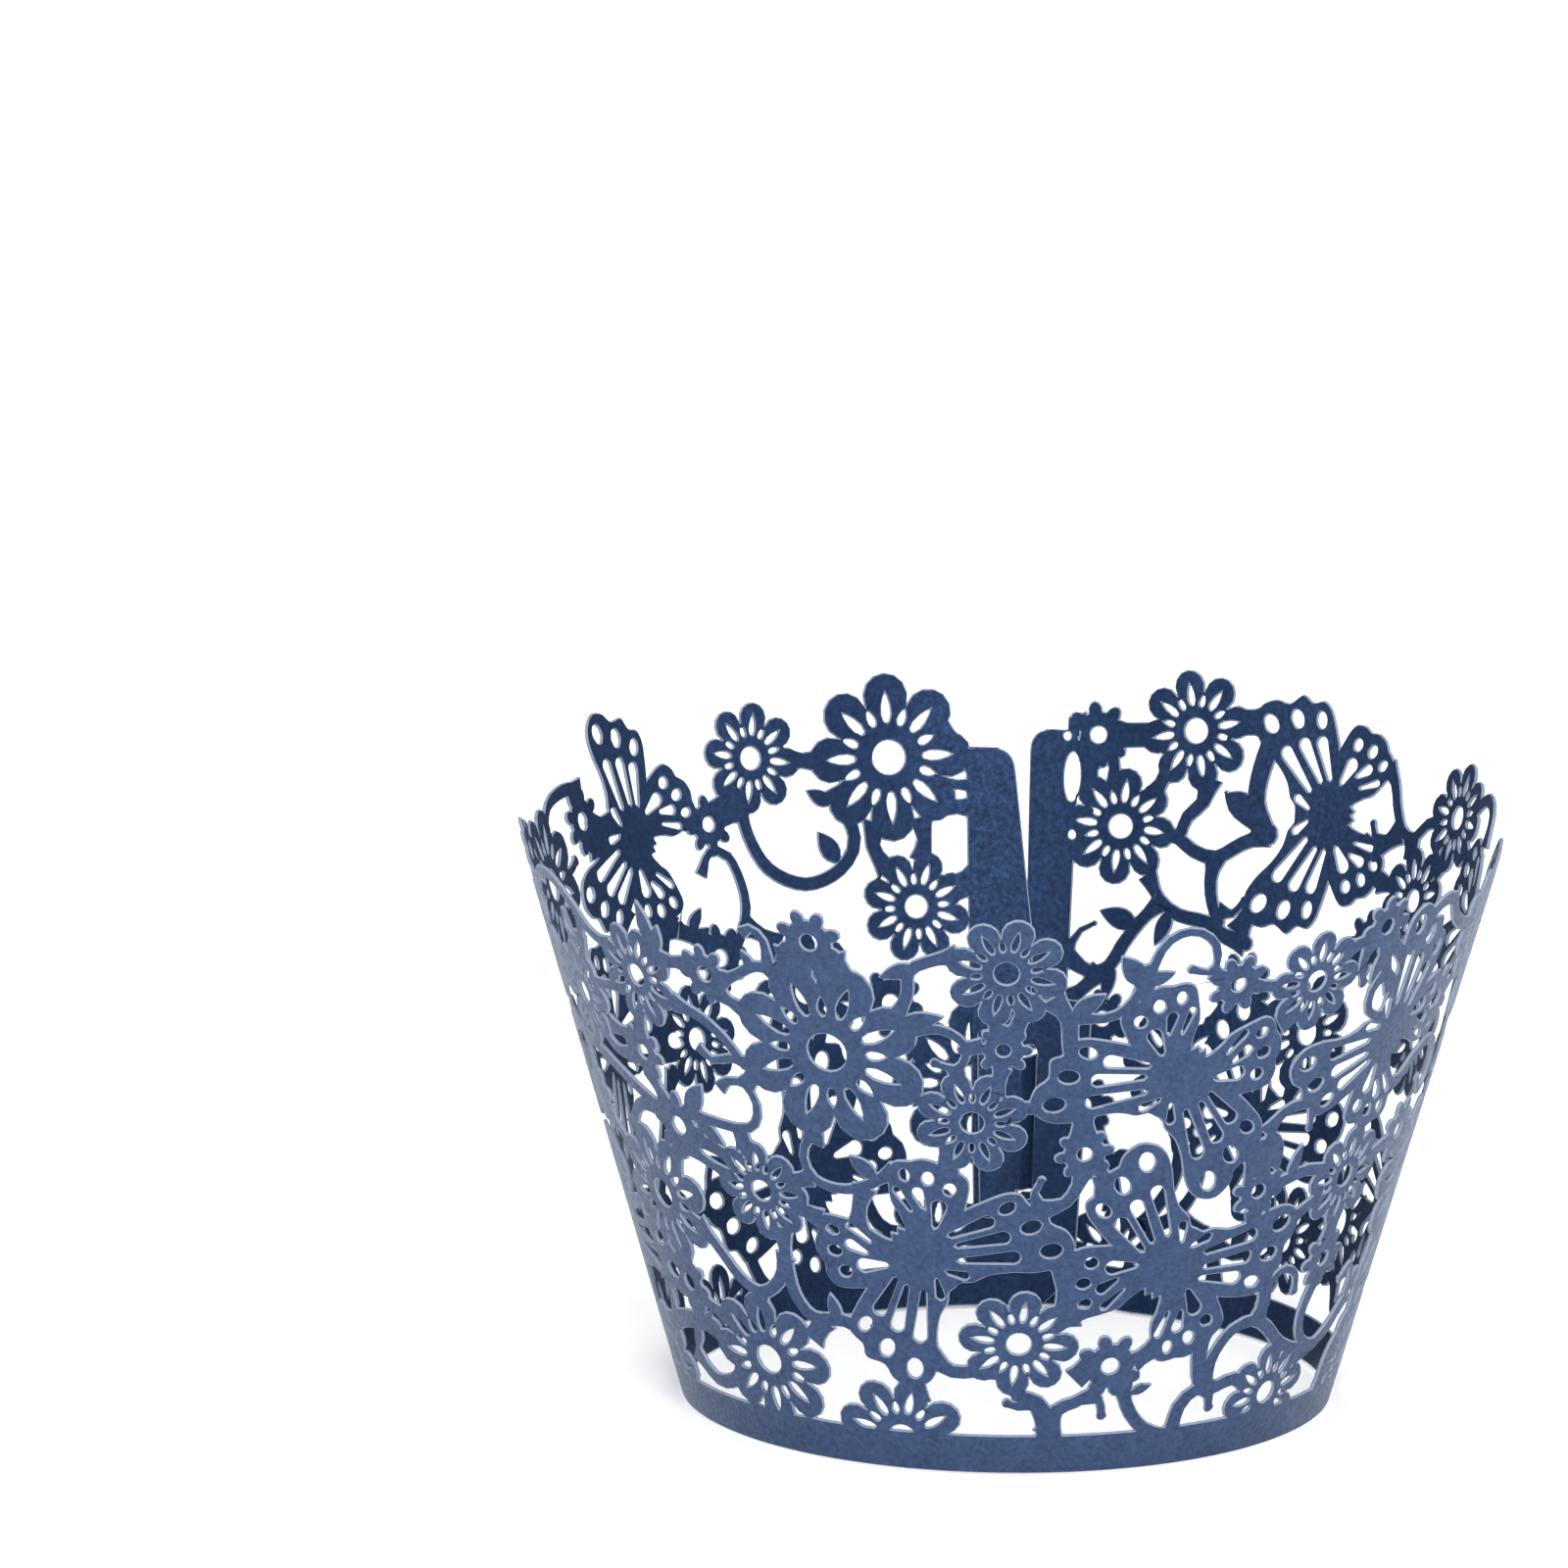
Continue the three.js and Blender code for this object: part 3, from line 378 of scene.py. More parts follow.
@dataclass(frozen=True)
class Butterfly(Motif):
    """Butterfly with open wings, its head towards a heading. In its own frame the tail points along +x."""

    around: float
    up: float
    head: float
    scale: float

    WING_STEP = 0.45
    # Half of the outline, from the tail round to the head
    HIND_WING = (
        (4.0, 0.0), (4.0, 0.7), (4.6, 1.4), (5.1, 2.9), (6.2, 4.3), (7.5, 5.5), (8.5, 6.9), (8.7, 8.2), (8.1, 9.5),
        (6.6, 10.0), (5.3, 9.7), (3.9, 10.5), (2.8, 9.8), (1.6, 10.0), (0.7, 9.2), (0.1, 7.8), (-0.5, 6.0),
    )
    FORE_WING = (
        (-0.5, 5.9), (-1.6, 7.5), (-2.4, 8.0), (-3.5, 7.8), (-4.1, 7.3), (-5.1, 7.2), (-6.1, 6.5), (-6.5, 5.7),
        (-7.2, 4.9), (-7.3, 3.9), (-6.4, 2.9), (-4.9, 1.7), (-3.7, 1.4), (-2.4, 0.8), (-3.0, 0.4), (-2.5, 0.0),
    )
    # Oval windows at the wing's edge: middle, width, length and heading
    OVALS = (
        ((1.75, 8.3), 1.0, 1.5, 78), ((4.35, 8.35), 1.2, 1.7, 62), ((7.05, 7.85), 1.3, 1.8, 48),
        ((-2.6, 6.2), 1.0, 1.1, 110), ((-4.45, 5.6), 0.95, 1.2, 130), ((-5.9, 4.35), 0.8, 1.1, 145),
    )
    # Drop-shaped windows between the wing's veins: narrow end, wide end and width
    DROPS = (
        ((0.3, 3.0), (1.7, 6.8), 1.1), ((1.3, 2.8), (3.7, 6.6), 1.1), ((2.4, 2.0), (5.6, 5.8), 1.1),
        ((2.4, 0.5), (4.0, 1.6), 0.7), ((-0.9, 2.7), (-2.4, 4.9), 1.2), ((-2.65, 3.4), (-4.5, 4.2), 0.9),
        ((-3.2, 2.4), (-5.6, 2.9), 0.55),
    )

    def outlines(self, cone: Cone) -> list[Outline]:
        """Both pairs of wings and the body as one outline.

        Args:
            cone: the blank.

        Returns:
            The outline on the blank.
        """
        half = through(list(self.HIND_WING), self.WING_STEP)[:-1] + through(list(self.FORE_WING), self.WING_STEP)
        whole = half + [(x, -y) for x, y in reversed(half[1:-1])]
        return [cone.lay(whole, (self.around, self.up), self.head + 180, self.scale)]

    def windows(self, cone: Cone) -> list[Outline]:
        """The ovals and the drops of both sides.

        Args:
            cone: the blank.

        Returns:
            The windows on the blank.
        """
        made = [oval(*row) for row in self.OVALS] + [drop(*row) for row in self.DROPS]
        both = made + [[(x, -y) for x, y in points] for points in made]
        return [cone.lay(points, (self.around, self.up), self.head + 180, self.scale) for points in both]


@dataclass(frozen=True)
class Tendril(Motif):
    """Tendril drawn as a stroke through places, its width changing from foot to end."""

    places: tuple[Point, ...]
    width: float
    end_width: float

    STEP = 0.85
    # The stroke is wider by this share where it grows out of another one, and loses that over a length.
    FLARE = 0.75
    FLARE_LENGTH = 0.9
    # An end thinner than this share of the foot is a curl's free end, and ends in a small knob.
    CURL_SHARE = 0.85
    KNOB = 0.62
    ROUND = 0.5
    END_STEPS = 10

    def outlines(self, cone: Cone) -> list[Outline]:
        """The stroke as short links that share their ends, and its round end.

        Args:
            cone: the blank.

        Returns:
            The outlines on the blank.
        """
        line = through([cone.flat(*place) for place in self.places], self.STEP)
        last = len(line) - 1
        lengths = [0.0]
        for a, b in zip(line, line[1:]):
            lengths.append(lengths[-1] + math.dist(a, b))
        curls = self.end_width < self.CURL_SHARE * self.width
        left: Outline = []
        right: Outline = []
        for i, (x, y) in enumerate(line):
            before, after = line[max(0, i - 1)], line[min(last, i + 1)]
            length = math.dist(before, after)
            nx, ny = (before[1] - after[1]) / length, (after[0] - before[0]) / length
            flare = math.exp(-((lengths[i] / self.FLARE_LENGTH) ** 2))
            if not curls:
                flare += math.exp(-(((lengths[last] - lengths[i]) / self.FLARE_LENGTH) ** 2))
            half = (self.width + (self.end_width - self.width) * i / last) / 2
            half *= 1 + self.FLARE * flare
            left.append((x + nx * half, y + ny * half))
            right.append((x - nx * half, y - ny * half))
        links = [right[i : i + 3] + list(reversed(left[i : i + 3])) for i in range(0, last, 2)]
        end = self.end_width * (self.KNOB if curls else self.ROUND)
        return [*links, ring(line[-1], end, self.END_STEPS)]


@dataclass(frozen=True)
class Leaf(Motif):
    """Pointed leaf from its foot to its tip."""

    foot: Point
    tip: Point
    width: float

    # Places along the leaf, and the two powers that shape its side: where it is widest, and how full it is
    STATIONS = (0.1, 0.25, 0.4, 0.55, 0.7, 0.85)
    WIDEST = 0.8
    FULLNESS = 0.9

    def outlines(self, cone: Cone) -> list[Outline]:
        """The leaf's outline.

        Args:
            cone: the blank.

        Returns:
            The outline on the blank.
        """
        foot, tip = cone.flat(*self.foot), cone.flat(*self.tip)
        length = math.dist(foot, tip)
        heading = math.degrees(math.atan2(tip[1] - foot[1], tip[0] - foot[0]))
        shares = [math.sin(math.pi * t**self.WIDEST) ** self.FULLNESS for t in self.STATIONS]
        side = [(length * t, self.width / 2 * share) for t, share in zip(self.STATIONS, shares)]
        shape = [(0.0, 0.0)] + [(x, -y) for x, y in side] + [(length, 0.0)] + list(reversed(side))
        return [[(foot[0] + x, foot[1] + y) for x, y in turned(shape, heading)]]


# The drawing

# Place round and up, radius and turn
DAISIES = tuple(Daisy(*row) for row in (
    (-23.7, 37.8, 8.3, 22.5), (-165.2, 44.7, 6.9, 0), (-0.9, 46, 5, -14.5), (-5.2, 32.3, 4.7, 21),
    (1.5, 12, 4.9, -7), (39.1, 43.2, 4.5, 0), (48.6, 5, 4.6, 10), (54.6, 23.8, 4.5, 0), (-52.6, 41.4, 4.6, 22),
    (-68.9, 37.4, 4.6, 0), (-37.2, 24, 4.5, 0), (-60, 21, 6.1, 10), (-42.3, 8.2, 6.1, 0), (-18.2, 2.9, 5.5, 30),
    (157.2, 47.5, 5, 28.6), (165.9, 39.1, 4.8, 4), (111.3, 45.8, 4.6, 0), (116.8, 38, 4.5, 22),
    (-167.7, 32.5, 4.6, 20), (-147, 45.7, 4.6, 13), (-129.6, 24.3, 4.5, 0), (154.3, 20.4, 4.8, 0), (161, 4, 4.7, 0),
    (127.3, 8.3, 4.7, 12), (-168.1, 4.9, 4.8, 8), (-174.7, 18.1, 6.6, 0), (-120.7, 1.5, 5, 10),
    (77.6, 42.6, 4.9, 10), (78.5, 21.2, 6.4, 0), (77.5, 5.4, 5.4, 0), (104.2, 28.4, 5.2, 12), (112.4, 11.6, 5.4, 0),
    (-83.6, 39.6, 5, 10), (-76, 4.4, 5, 0), (-100.4, 41.2, 6.3, 22), (-104.6, 9.4, 5.6, 0), (-89.5, 28.6, 5, 12),
    (-150.6, 26.4, 5, 0), (132.4, 25, 5, 12),
))

# Place round and up, and radius
FLOWERS = tuple(SmallFlower(*row) for row in (
    (-1.2, 39, 2.4), (9.7, 29.4, 2.5), (16.3, 9.7, 3), (27.6, 44, 2.7), (49.3, 46.8, 2.8), (36.8, 24.4, 2.6),
    (54.8, 16.4, 2.7), (-24.4, 47.7, 3), (-39.9, 43.2, 2.7), (-55.3, 34.2, 2.6), (-51.1, 28.2, 3.2),
    (-59, 13.2, 2.8), (169.4, 46.4, 2.8), (-139.2, 41, 2.5), (168.3, 16.3, 2.6), (68.4, 26, 2.9), (67.6, 37.8, 2.9),
    (87.4, 28.8, 2.9), (-75.2, 27.4, 2.9), (-92, 45.6, 2.9), (-115.4, 44.2, 2.9), (124.4, 33.4, 2.8),
    (145.4, 27.6, 2.9), (166.4, 23.4, 2.5), (-137.2, 30.2, 2.9), (-163.2, 24.8, 2.9),
))

# Place round and up, direction of the head, and scale
BUTTERFLIES = tuple(Butterfly(*row) for row in (
    (21.9, 36, 61.3, 1), (-13.2, 19.9, 133, 1), (24, 18.3, 240, 1), (56.3, 36.2, 318, 0.93),
    (136.5, 42.5, 171, 0.93), (-146.8, 11.5, 224, 1), (-126.2, 41.3, 208.5, 0.88), (94.2, 39.8, 75, 0.95),
    (95.4, 15.6, 250, 0.95), (-83.4, 15.4, 120, 1), (-107.6, 26.4, 60, 0.95), (139.4, 16.6, 300, 0.9),
))

# Places along the stroke, width at its foot and at its end
TENDRILS = tuple(Tendril(*row) for row in (
    (((82.4, 6.4), (87, 5.2), (91.4, 6.8), (93.8, 10)), 1.3, 1.2),
    (((73.2, 8.6), (72.2, 12.4), (74.2, 16.2)), 1.3, 1.3),
    (((72.4, 11), (76.6, 12.8), (80.4, 11.4), (80.2, 9)), 1.2, 0.7), (((84.4, 2.6), (87.4, 5.4)), 1.3, 1.3),
    (((101, 7.4), (104.6, 5), (108.4, 7.6)), 1.3, 1.3), (((66.6, 2.6), (67.6, 6.4), (71.4, 8)), 1.4, 1.2),
    (((-71.2, 6.8), (-67.8, 10.4), (-69, 14.2), (-73, 16.4)), 1.3, 1.3),
    (((-81.2, 5.6), (-87.6, 6.2), (-92.4, 9), (-98.4, 10)), 1.3, 1.3), (((-87.8, 6.4), (-90, 2.6)), 1.3, 1.4),
    (((-91.8, 8.6), (-93, 12.6), (-96.6, 15), (-99.8, 14)), 1.2, 0.7), (((-110.4, 7.2), (-116, 4.4)), 1.3, 1.3),
    (((52.6, 7.6), (59, 8), (64.6, 9.9), (69.2, 13.2)), 1.3, 1.1),
    (((157.4, 6.6), (151, 8.2), (147.6, 11), (147.8, 14), (151, 15.2)), 1.3, 0.8),
    (((167, 14.6), (163.6, 11.8), (161.8, 8)), 1.4, 1.4),
    (((131, 8), (138, 6.2), (144, 7.2), (151, 8.4)), 1.3, 1.3),
    (((140.6, 2.6), (141.8, 5.2), (144.6, 7.4)), 1.5, 1.3),
    (((-163.8, 5.6), (-158.4, 7), (-156.4, 10.2), (-158.4, 12.6), (-161.4, 11.8)), 1.3, 0.7),
    (((-134, 2.6), (-131.6, 6.4), (-135.2, 9.6)), 1.4, 1.3),
    (((-131.8, 6.4), (-126.8, 8.6), (-124.8, 12.2), (-127.4, 14.6), (-130.2, 13.6)), 1.2, 0.7),
    (((-112.4, 8.6), (-118.4, 10.8), (-125.4, 10.8)), 1.3, 1.2),
    (((-47.8, 43.2), (-48.4, 45), (-49, 46.4)), 1.4, 1),
    (((-63.5, 6.6), (-58, 4.7), (-52.5, 5.2), (-49, 6.6)), 1.4, 1.3),
    (((-72, 7.6), (-67, 8.9), (-61, 9.6), (-54.4, 9.8)), 1.8, 1.6), (((-58.6, 11.6), (-58, 9.8)), 1.4, 1.4),
    (((-66.6, 12.6), (-61, 12.8)), 1.3, 1.3), (((-64.6, 26), (-60.6, 28.6), (-56.4, 29.4)), 1.2, 1.2),
    (((-66.4, 35.2), (-62.4, 33.4), (-57.6, 33.6)), 1.2, 1.2), (((33.2, 29.6), (34.8, 27.2), (36, 25.8)), 1.6, 1.6),
    (((47.2, 46), (46.4, 43.8), (47.4, 42)), 1.3, 0.8), (((50.6, 45.4), (51.2, 42.8), (53.6, 40.8)), 1.4, 1.3),
    (((51.6, 42.6), (49.4, 41), (49.8, 39.2), (52.2, 38.4)), 1.1, 0.8),
    (((-57, 43.2), (-61.5, 43.9), (-65, 45.8), (-69.5, 47.2), (-74.5, 47), (-79, 45.3)), 1.1, 1),
    (((-63.5, 44.9), (-64.6, 43), (-67, 42.2), (-69.3, 43.1), (-68.6, 44.5)), 1.1, 0.7),
    (((-64.8, 43.3), (-65.2, 41.5), (-66.8, 39.8)), 1.2, 1.2), (((-65.5, 38.9), (-61, 39.3), (-56, 39.8)), 1, 1),
    (((-62.5, 35.6), (-57.2, 35.2)), 1.1, 1.1), (((-54, 38.4), (-55, 35.6)), 1.4, 1.2),
    (((-46.5, 39.9), (-42, 39), (-38.8, 37.5), (-36.4, 35.6)), 1.2, 1),
    (((-43.7, 36.3), (-41.5, 35.3), (-38.5, 35.8), (-35, 35.6)), 0.7, 1),
    (((-41.3, 32.7), (-39.5, 33.6), (-36.8, 33.6), (-35.4, 31.9), (-36.3, 30.1), (-39.5, 29.4),
     (-49, 29.8)), 0.8, 1.1),
    (((-36.9, 33.4), (-34.6, 34.9)), 1.1, 1.1), (((-42.4, 43.7), (-47.2, 43.6)), 1.1, 1.1),
    (((-38.7, 41.8), (-34.5, 40.4)), 1.1, 1.1),
    (((-37.6, 42.8), (-34.8, 43.8), (-32, 44.8), (-28.5, 44.6)), 0.9, 1.2),
    (((-33.4, 47.6), (-32, 48.2), (-30.4, 47.2), (-30.2, 44.4)), 0.7, 1.1),
    (((-26.2, 46.6), (-27.2, 44.2)), 2.4, 2.6), (((-22.6, 46.6), (-21.2, 44.2)), 2.4, 2.6),
    (((-14.5, 41.4), (-12.8, 43.6), (-12.4, 45.8), (-10.2, 46.8), (-6.4, 47.6)), 1.1, 1.2),
    (((-13.5, 40.3), (-9, 40.7), (-6.2, 39.6), (-5.9, 38.2), (-7.2, 37.2), (-9.8, 37.6)), 1, 0.7),
    (((-7.2, 37.2), (-6.4, 35.2)), 0.9, 1), (((-2.9, 43.2), (-1.8, 40.5)), 1.1, 1),
    (((1.4, 42.8), (0.1, 40.5)), 1.1, 1), (((-1.3, 37.5), (-2.2, 35)), 1, 1),
    (((-3.6, 39.4), (-6.3, 39)), 0.9, 0.9), (((-1.5, 33.8), (5.6, 33.7)), 1.3, 1.2),
    (((-8, 30), (-8.8, 27.6)), 1.3, 1.3), (((4.4, 43.8), (6.6, 41.8), (7, 39.5), (7.8, 37.4)), 1.5, 1.4),
    (((7, 42), (11, 41.8), (13.5, 42.6), (15, 44.2), (15.7, 46.2)), 1, 0.9),
    (((15.3, 45.7), (15.8, 43.8), (17.4, 41.8)), 1.4, 1.4),
    (((15.6, 44.4), (17.2, 47.8), (19.2, 49.1), (21.8, 49.1), (23.9, 47.8), (24.3, 46), (23.4, 45.4),
     (21.2, 45.8)), 1, 0.7),
    (((23.8, 45.4), (27, 44.2)), 0.9, 1.1), (((28.5, 43.8), (35, 43.2)), 1.1, 1.1),
    (((42.8, 45.4), (48, 46.4)), 1.2, 1.2), (((49.5, 46), (52.5, 44.4), (55.5, 43)), 1.4, 1.4),
    (((34.6, 39.6), (37.2, 40.8)), 1.3, 1.3), (((36, 29.6), (38.5, 31.4), (41.5, 31.8), (46.5, 31.6)), 1.2, 1.1),
    (((43.6, 31.6), (43.8, 29.4)), 0.9, 0.6), (((38, 24.6), (42, 25), (45.5, 25.4), (51, 24.8)), 1.2, 1.2),
    (((36.6, 25.8), (36, 28.8)), 1.2, 1.2), (((36.8, 22.8), (37.2, 19.6)), 1.2, 1.2),
    (((43, 20.4), (47.5, 22), (51.4, 22.8)), 1.2, 1.2), (((54.8, 20.6), (54.8, 18)), 1.4, 1.4),
    (((55.8, 30.6), (55, 26.6)), 1.5, 1.4), (((9, 34), (9.4, 30.6)), 1.8, 1.6),
    (((9.7, 28.2), (9.1, 26.6), (7.5, 25), (4.5, 24.4)), 1.2, 1.1),
    (((3.9, 24.6), (3.2, 26), (4.1, 27.1)), 0.8, 0.6), (((11, 28.8), (12.8, 27.2), (15.4, 27.4)), 1.1, 1.1),
    (((12.4, 27.4), (12.6, 24.6)), 1.1, 1.1),
    (((-80, 33.3), (-70, 32.6), (-64, 31.5), (-58.5, 30.2), (-53, 29)), 1.2, 1.2),
    (((-55.2, 32.6), (-52.6, 29.6)), 1.3, 1.3), (((-49, 27.6), (-44, 26.9), (-39.8, 26)), 1.4, 1.3),
    (((-50.5, 26.4), (-46.5, 25.5), (-42, 24.6)), 1.1, 1), (((-39.2, 29.8), (-38.6, 27.4)), 1.3, 1.3),
    (((-52, 26.4), (-55, 23.6)), 1.2, 1.3),
    (((-52, 19.6), (-48, 17.2), (-45, 15.3), (-41, 14.4), (-37, 15.8), (-34.9, 18.4)), 1.3, 1.2),
    (((-59.4, 16.8), (-59, 14.6)), 1.3, 1.3), (((-57, 12.4), (-50.5, 11)), 1.2, 1.2),
    (((-41.4, 14.8), (-42, 12.8)), 1.4, 1.4), (((-32.4, 25.2), (-28.4, 26)), 1.1, 1.1),
    (((-32.8, 23.4), (-27.6, 22.2)), 1.3, 1.3),
    (((-34.6, 21), (-34.9, 17.5), (-34.3, 14.8), (-31.5, 13), (-26.3, 13.1), (-22.4, 12.2)), 1.3, 1.3),
    (((-32.6, 10.8), (-29.5, 12.9)), 1.4, 1.3),
    (((-25.7, 29.5), (-28, 29.5), (-29.2, 27.8), (-28, 26), (-24.5, 25.3), (-20.5, 25.8), (-15.6, 27.6)), 0.8, 1.1),
    (((-27.4, 29.3), (-26.8, 31.4)), 1.1, 1.1), (((-20.4, 25.8), (-21.5, 24), (-22.2, 21.6)), 1.3, 1.4),
    (((-15.3, 9.6), (-15.9, 6.4)), 2, 1.8), (((-12.6, 10.6), (-9, 9.3), (-5.5, 9.4), (-1.8, 9.6)), 1.4, 1.2),
    (((5.2, 13.6), (10.5, 14.6)), 1.4, 1.4), (((7, 20.4), (8, 18), (9.4, 15.6)), 1.8, 1.8),
    (((6.7, 2), (6.4, 4.5), (4.5, 6.5), (1.8, 7.2), (0.8, 9.2)), 2, 1.3),
    (((3.8, 6.6), (1.5, 6.2), (-0.3, 6.5)), 0.9, 0.7), (((6.6, 3.6), (8, 5.8), (11, 6.5), (14.6, 7.6)), 1.5, 1.1),
    (((12.6, 6.9), (15, 6.6), (15.7, 5.1)), 0.9, 0.7), (((18.6, 8.2), (19.8, 6), (22, 4.3), (26, 2.6)), 1.2, 1.2),
    (((20, 9.8), (24, 11.2)), 1.2, 1.4),
    (((28.8, 2), (29.6, 5.2), (32.5, 6.6), (36.5, 6.6), (40, 7), (44.5, 5.8)), 1.4, 1.3),
    (((34.2, 6.6), (35.4, 5.8), (35.9, 4.7)), 0.9, 0.7),
    (((31.6, 12.4), (32, 9.2), (33, 7.3), (35, 6.6)), 1.7, 1.4),
    (((33.6, 7.2), (34.8, 9.8), (37.5, 11.7), (41.5, 12.2), (45, 11.2), (49, 9.4), (56, 7.8)), 1.2, 1.2),
    (((42.2, 11.8), (42.7, 14), (41.4, 16.6)), 1.4, 1.4),
    (((42.7, 13.4), (43.5, 15.6), (46, 16.4), (48.7, 15.6), (49.4, 14)), 1, 0.7),
    (((54.8, 15.2), (53, 12), (53.8, 9.8), (57, 8.4), (62, 8.5), (66, 10.3), (67, 13), (65, 14.6),
     (62.8, 13.5)), 1.3, 0.7),
    (((10.4, 8.6), (13, 9.8)), 1.3, 1.3),
    (((57, 45.6), (60.5, 47.2), (63.5, 47.2), (66, 45.2), (70, 43.9), (74.5, 43.6)), 1.3, 1.2),
    (((59.5, 31), (62.5, 31.4), (66, 33), (70, 33.8), (74, 32.5), (75, 30), (72.5, 28.8), (70.3, 30.3)), 1.3, 0.7),
    (((57.8, 24.4), (63, 25.2), (68, 25.8)), 1.3, 1.3), (((87.4, 27.6), (87.8, 24.4)), 1.2, 1.2),
    (((88.4, 30.4), (91, 33.4), (94, 37.8)), 1.2, 1.3), (((106, 32.4), (110.5, 34.6), (114, 35.6)), 1.2, 1.2),
    (((114.4, 45), (118.2, 44.2), (120.4, 42.7), (123.2, 43), (125.4, 44.8), (126.6, 46.4),
     (128.6, 47.6)), 1.1, 1.2),
    (((123.4, 42.9), (125.4, 41.7), (127.4, 40.8), (129.8, 40.6)), 1.5, 1.6),
    (((126.4, 41.3), (128.2, 41.9), (129, 42.8)), 1.2, 0.6), (((120.6, 42.6), (120, 41)), 1.2, 1.2),
    (((99.4, 45.2), (100.4, 47.8), (103.6, 48.6), (107.6, 46.9)), 1.2, 1.2),
    (((99, 43.8), (104.2, 43.4), (108.2, 44.4)), 1.2, 1.2), (((112.6, 42.2), (114, 41)), 1.6, 1.6),
    (((120.2, 38.6), (125.6, 38.4)), 1.3, 1.3),
    (((146.6, 48.6), (147.8, 45.2), (147.8, 42.4), (145.4, 40)), 2, 1.6),
    (((161, 39), (158, 38.7), (155.6, 37.8), (152.4, 37.5), (149, 38.9), (145.4, 40)), 1.2, 1.3),
    (((152.4, 37.8), (152.7, 35.6), (152, 33.8), (150.8, 32.4)), 1.35, 1.1),
    (((151.2, 33.3), (148.8, 33.2), (147.4, 34.4)), 0.9, 0.6),
    (((154.6, 43.8), (155.2, 41.8), (157, 40.5), (157.8, 38.8)), 1.4, 1.1),
    (((146.8, 41), (149.4, 41.1), (151.2, 41.7), (152.2, 42.8)), 1.6, 0.4),
    (((161.8, 35.4), (159.6, 33.5), (156.6, 32.5), (152.6, 32.2), (149.4, 31.3), (146, 31)), 1.1, 1.4),
    (((147.6, 31.6), (146.2, 33.4), (144.6, 34.6)), 1.5, 1.5), (((160.8, 46.8), (168.5, 46.4)), 2.1, 2.1),
    (((148.6, 48.9), (152, 48.6)), 1.6, 1.6), (((160, 44.8), (161.2, 42.8), (162.4, 41.4)), 1.2, 1.3),
    (((168, 45.6), (167.2, 43.8), (167.2, 42)), 1, 1), (((169.6, 45.4), (170.4, 43.6), (170.2, 41.4)), 1.7, 1.7),
    (((169.4, 39.4), (173, 38.8)), 2, 2), (((170.6, 46.1), (174, 45.9)), 2.6, 2.6),
    (((159.4, 33.4), (162.2, 31.5), (164.4, 29.5), (166, 27.7), (168.8, 27.2), (172.6, 28.6)), 1.1, 1.3),
    (((167, 27.4), (169.8, 25.6), (173, 24.6)), 1.2, 1.2),
    (((172.2, 28.2), (171.2, 29.6), (170.2, 30.5), (168.4, 31.1)), 1, 0.4),
    (((123.2, 34.2), (118.6, 36.6)), 1.2, 1.2), (((125.6, 32.4), (129.6, 28)), 1.2, 1.2),
    (((140.6, 25.4), (143.6, 26.4)), 1.2, 1.2), (((146.6, 26.6), (151.6, 22.4)), 1.2, 1.2),
    (((151.4, 18.6), (145.6, 15.2), (138.8, 11)), 1.3, 1.3),
    (((140.2, 12.2), (135, 15.6), (132.8, 20.8)), 1.2, 1.2),
    (((152.4, 16.8), (151.8, 11.4), (157.6, 6.4)), 1.2, 1.2),
    (((-109, 12.8), (-116.5, 18.1), (-122.6, 22.4)), 1.3, 1.3),
    (((-157.6, 42.6), (-160, 38.4), (-157.6, 35.9), (-152.5, 35), (-147.4, 36.6), (-145, 39.6),
     (-144.6, 42.6)), 1.2, 1.2),
    (((-136.5, 37), (-138.5, 38.7), (-141.5, 38.1), (-143, 35), (-142.3, 32.6), (-140, 30.6),
     (-136.6, 28)), 0.8, 1.2),
    (((-143.6, 41.8), (-140.4, 41.2)), 1.4, 1.2), (((-138, 41.2), (-133.6, 41.8)), 1.2, 1.2),
    (((-151.4, 45.2), (-156.6, 44.8)), 1.3, 1.3), (((-168.8, 39.8), (-169.2, 38), (-168.6, 36.2)), 1.3, 1.2),
    (((-163, 39.6), (-162.4, 37.6), (-164.2, 35.4)), 1.4, 1.2), (((-171.6, 33.6), (-176, 34.6)), 1.8, 1.8),
    (((-171.4, 42.4), (-176, 42.2)), 0.8, 0.8), (((-171.2, 40.6), (-176, 40.4)), 1.2, 1.2),
    (((-171, 47.4), (-176, 44)), 1.4, 1.4), (((-144.4, 43.6), (-139.8, 41.8)), 1.2, 1.2),
    (((-121.4, 36.2), (-115.4, 32.4)), 1.2, 1.2), (((-121.8, 42.8), (-117.4, 43.4)), 1.7, 1.7),
    (((-121.6, 40.9), (-118.4, 41.6), (-115.8, 42.2)), 1.7, 1.7),
    (((-128.6, 35), (-127, 33), (-125.4, 30.6)), 2.2, 1.8),
    (((-128, 33.8), (-131.4, 32.9), (-135.4, 31.8)), 1.5, 1.4), (((-105.2, 45.2), (-101, 44.4)), 1.2, 1.2),
    (((-79.6, 39.2), (-72.4, 38)), 1.2, 1.2), (((-79.2, 45.5), (-81.6, 42.6)), 1.1, 1.2),
    (((-94.4, 40.2), (-87, 39.8)), 1.2, 1.2), (((-80.2, 33.3), (-86, 31.4)), 1.2, 1.2),
    (((-75.2, 28.2), (-74.6, 33.2)), 1.2, 1.2), (((-73.6, 26.6), (-66.6, 23.6)), 1.2, 1.2),
    (((-163.4, 24), (-166.8, 20.4)), 1.2, 1.2), (((-161.8, 25.4), (-155, 26.4)), 1.2, 1.2),
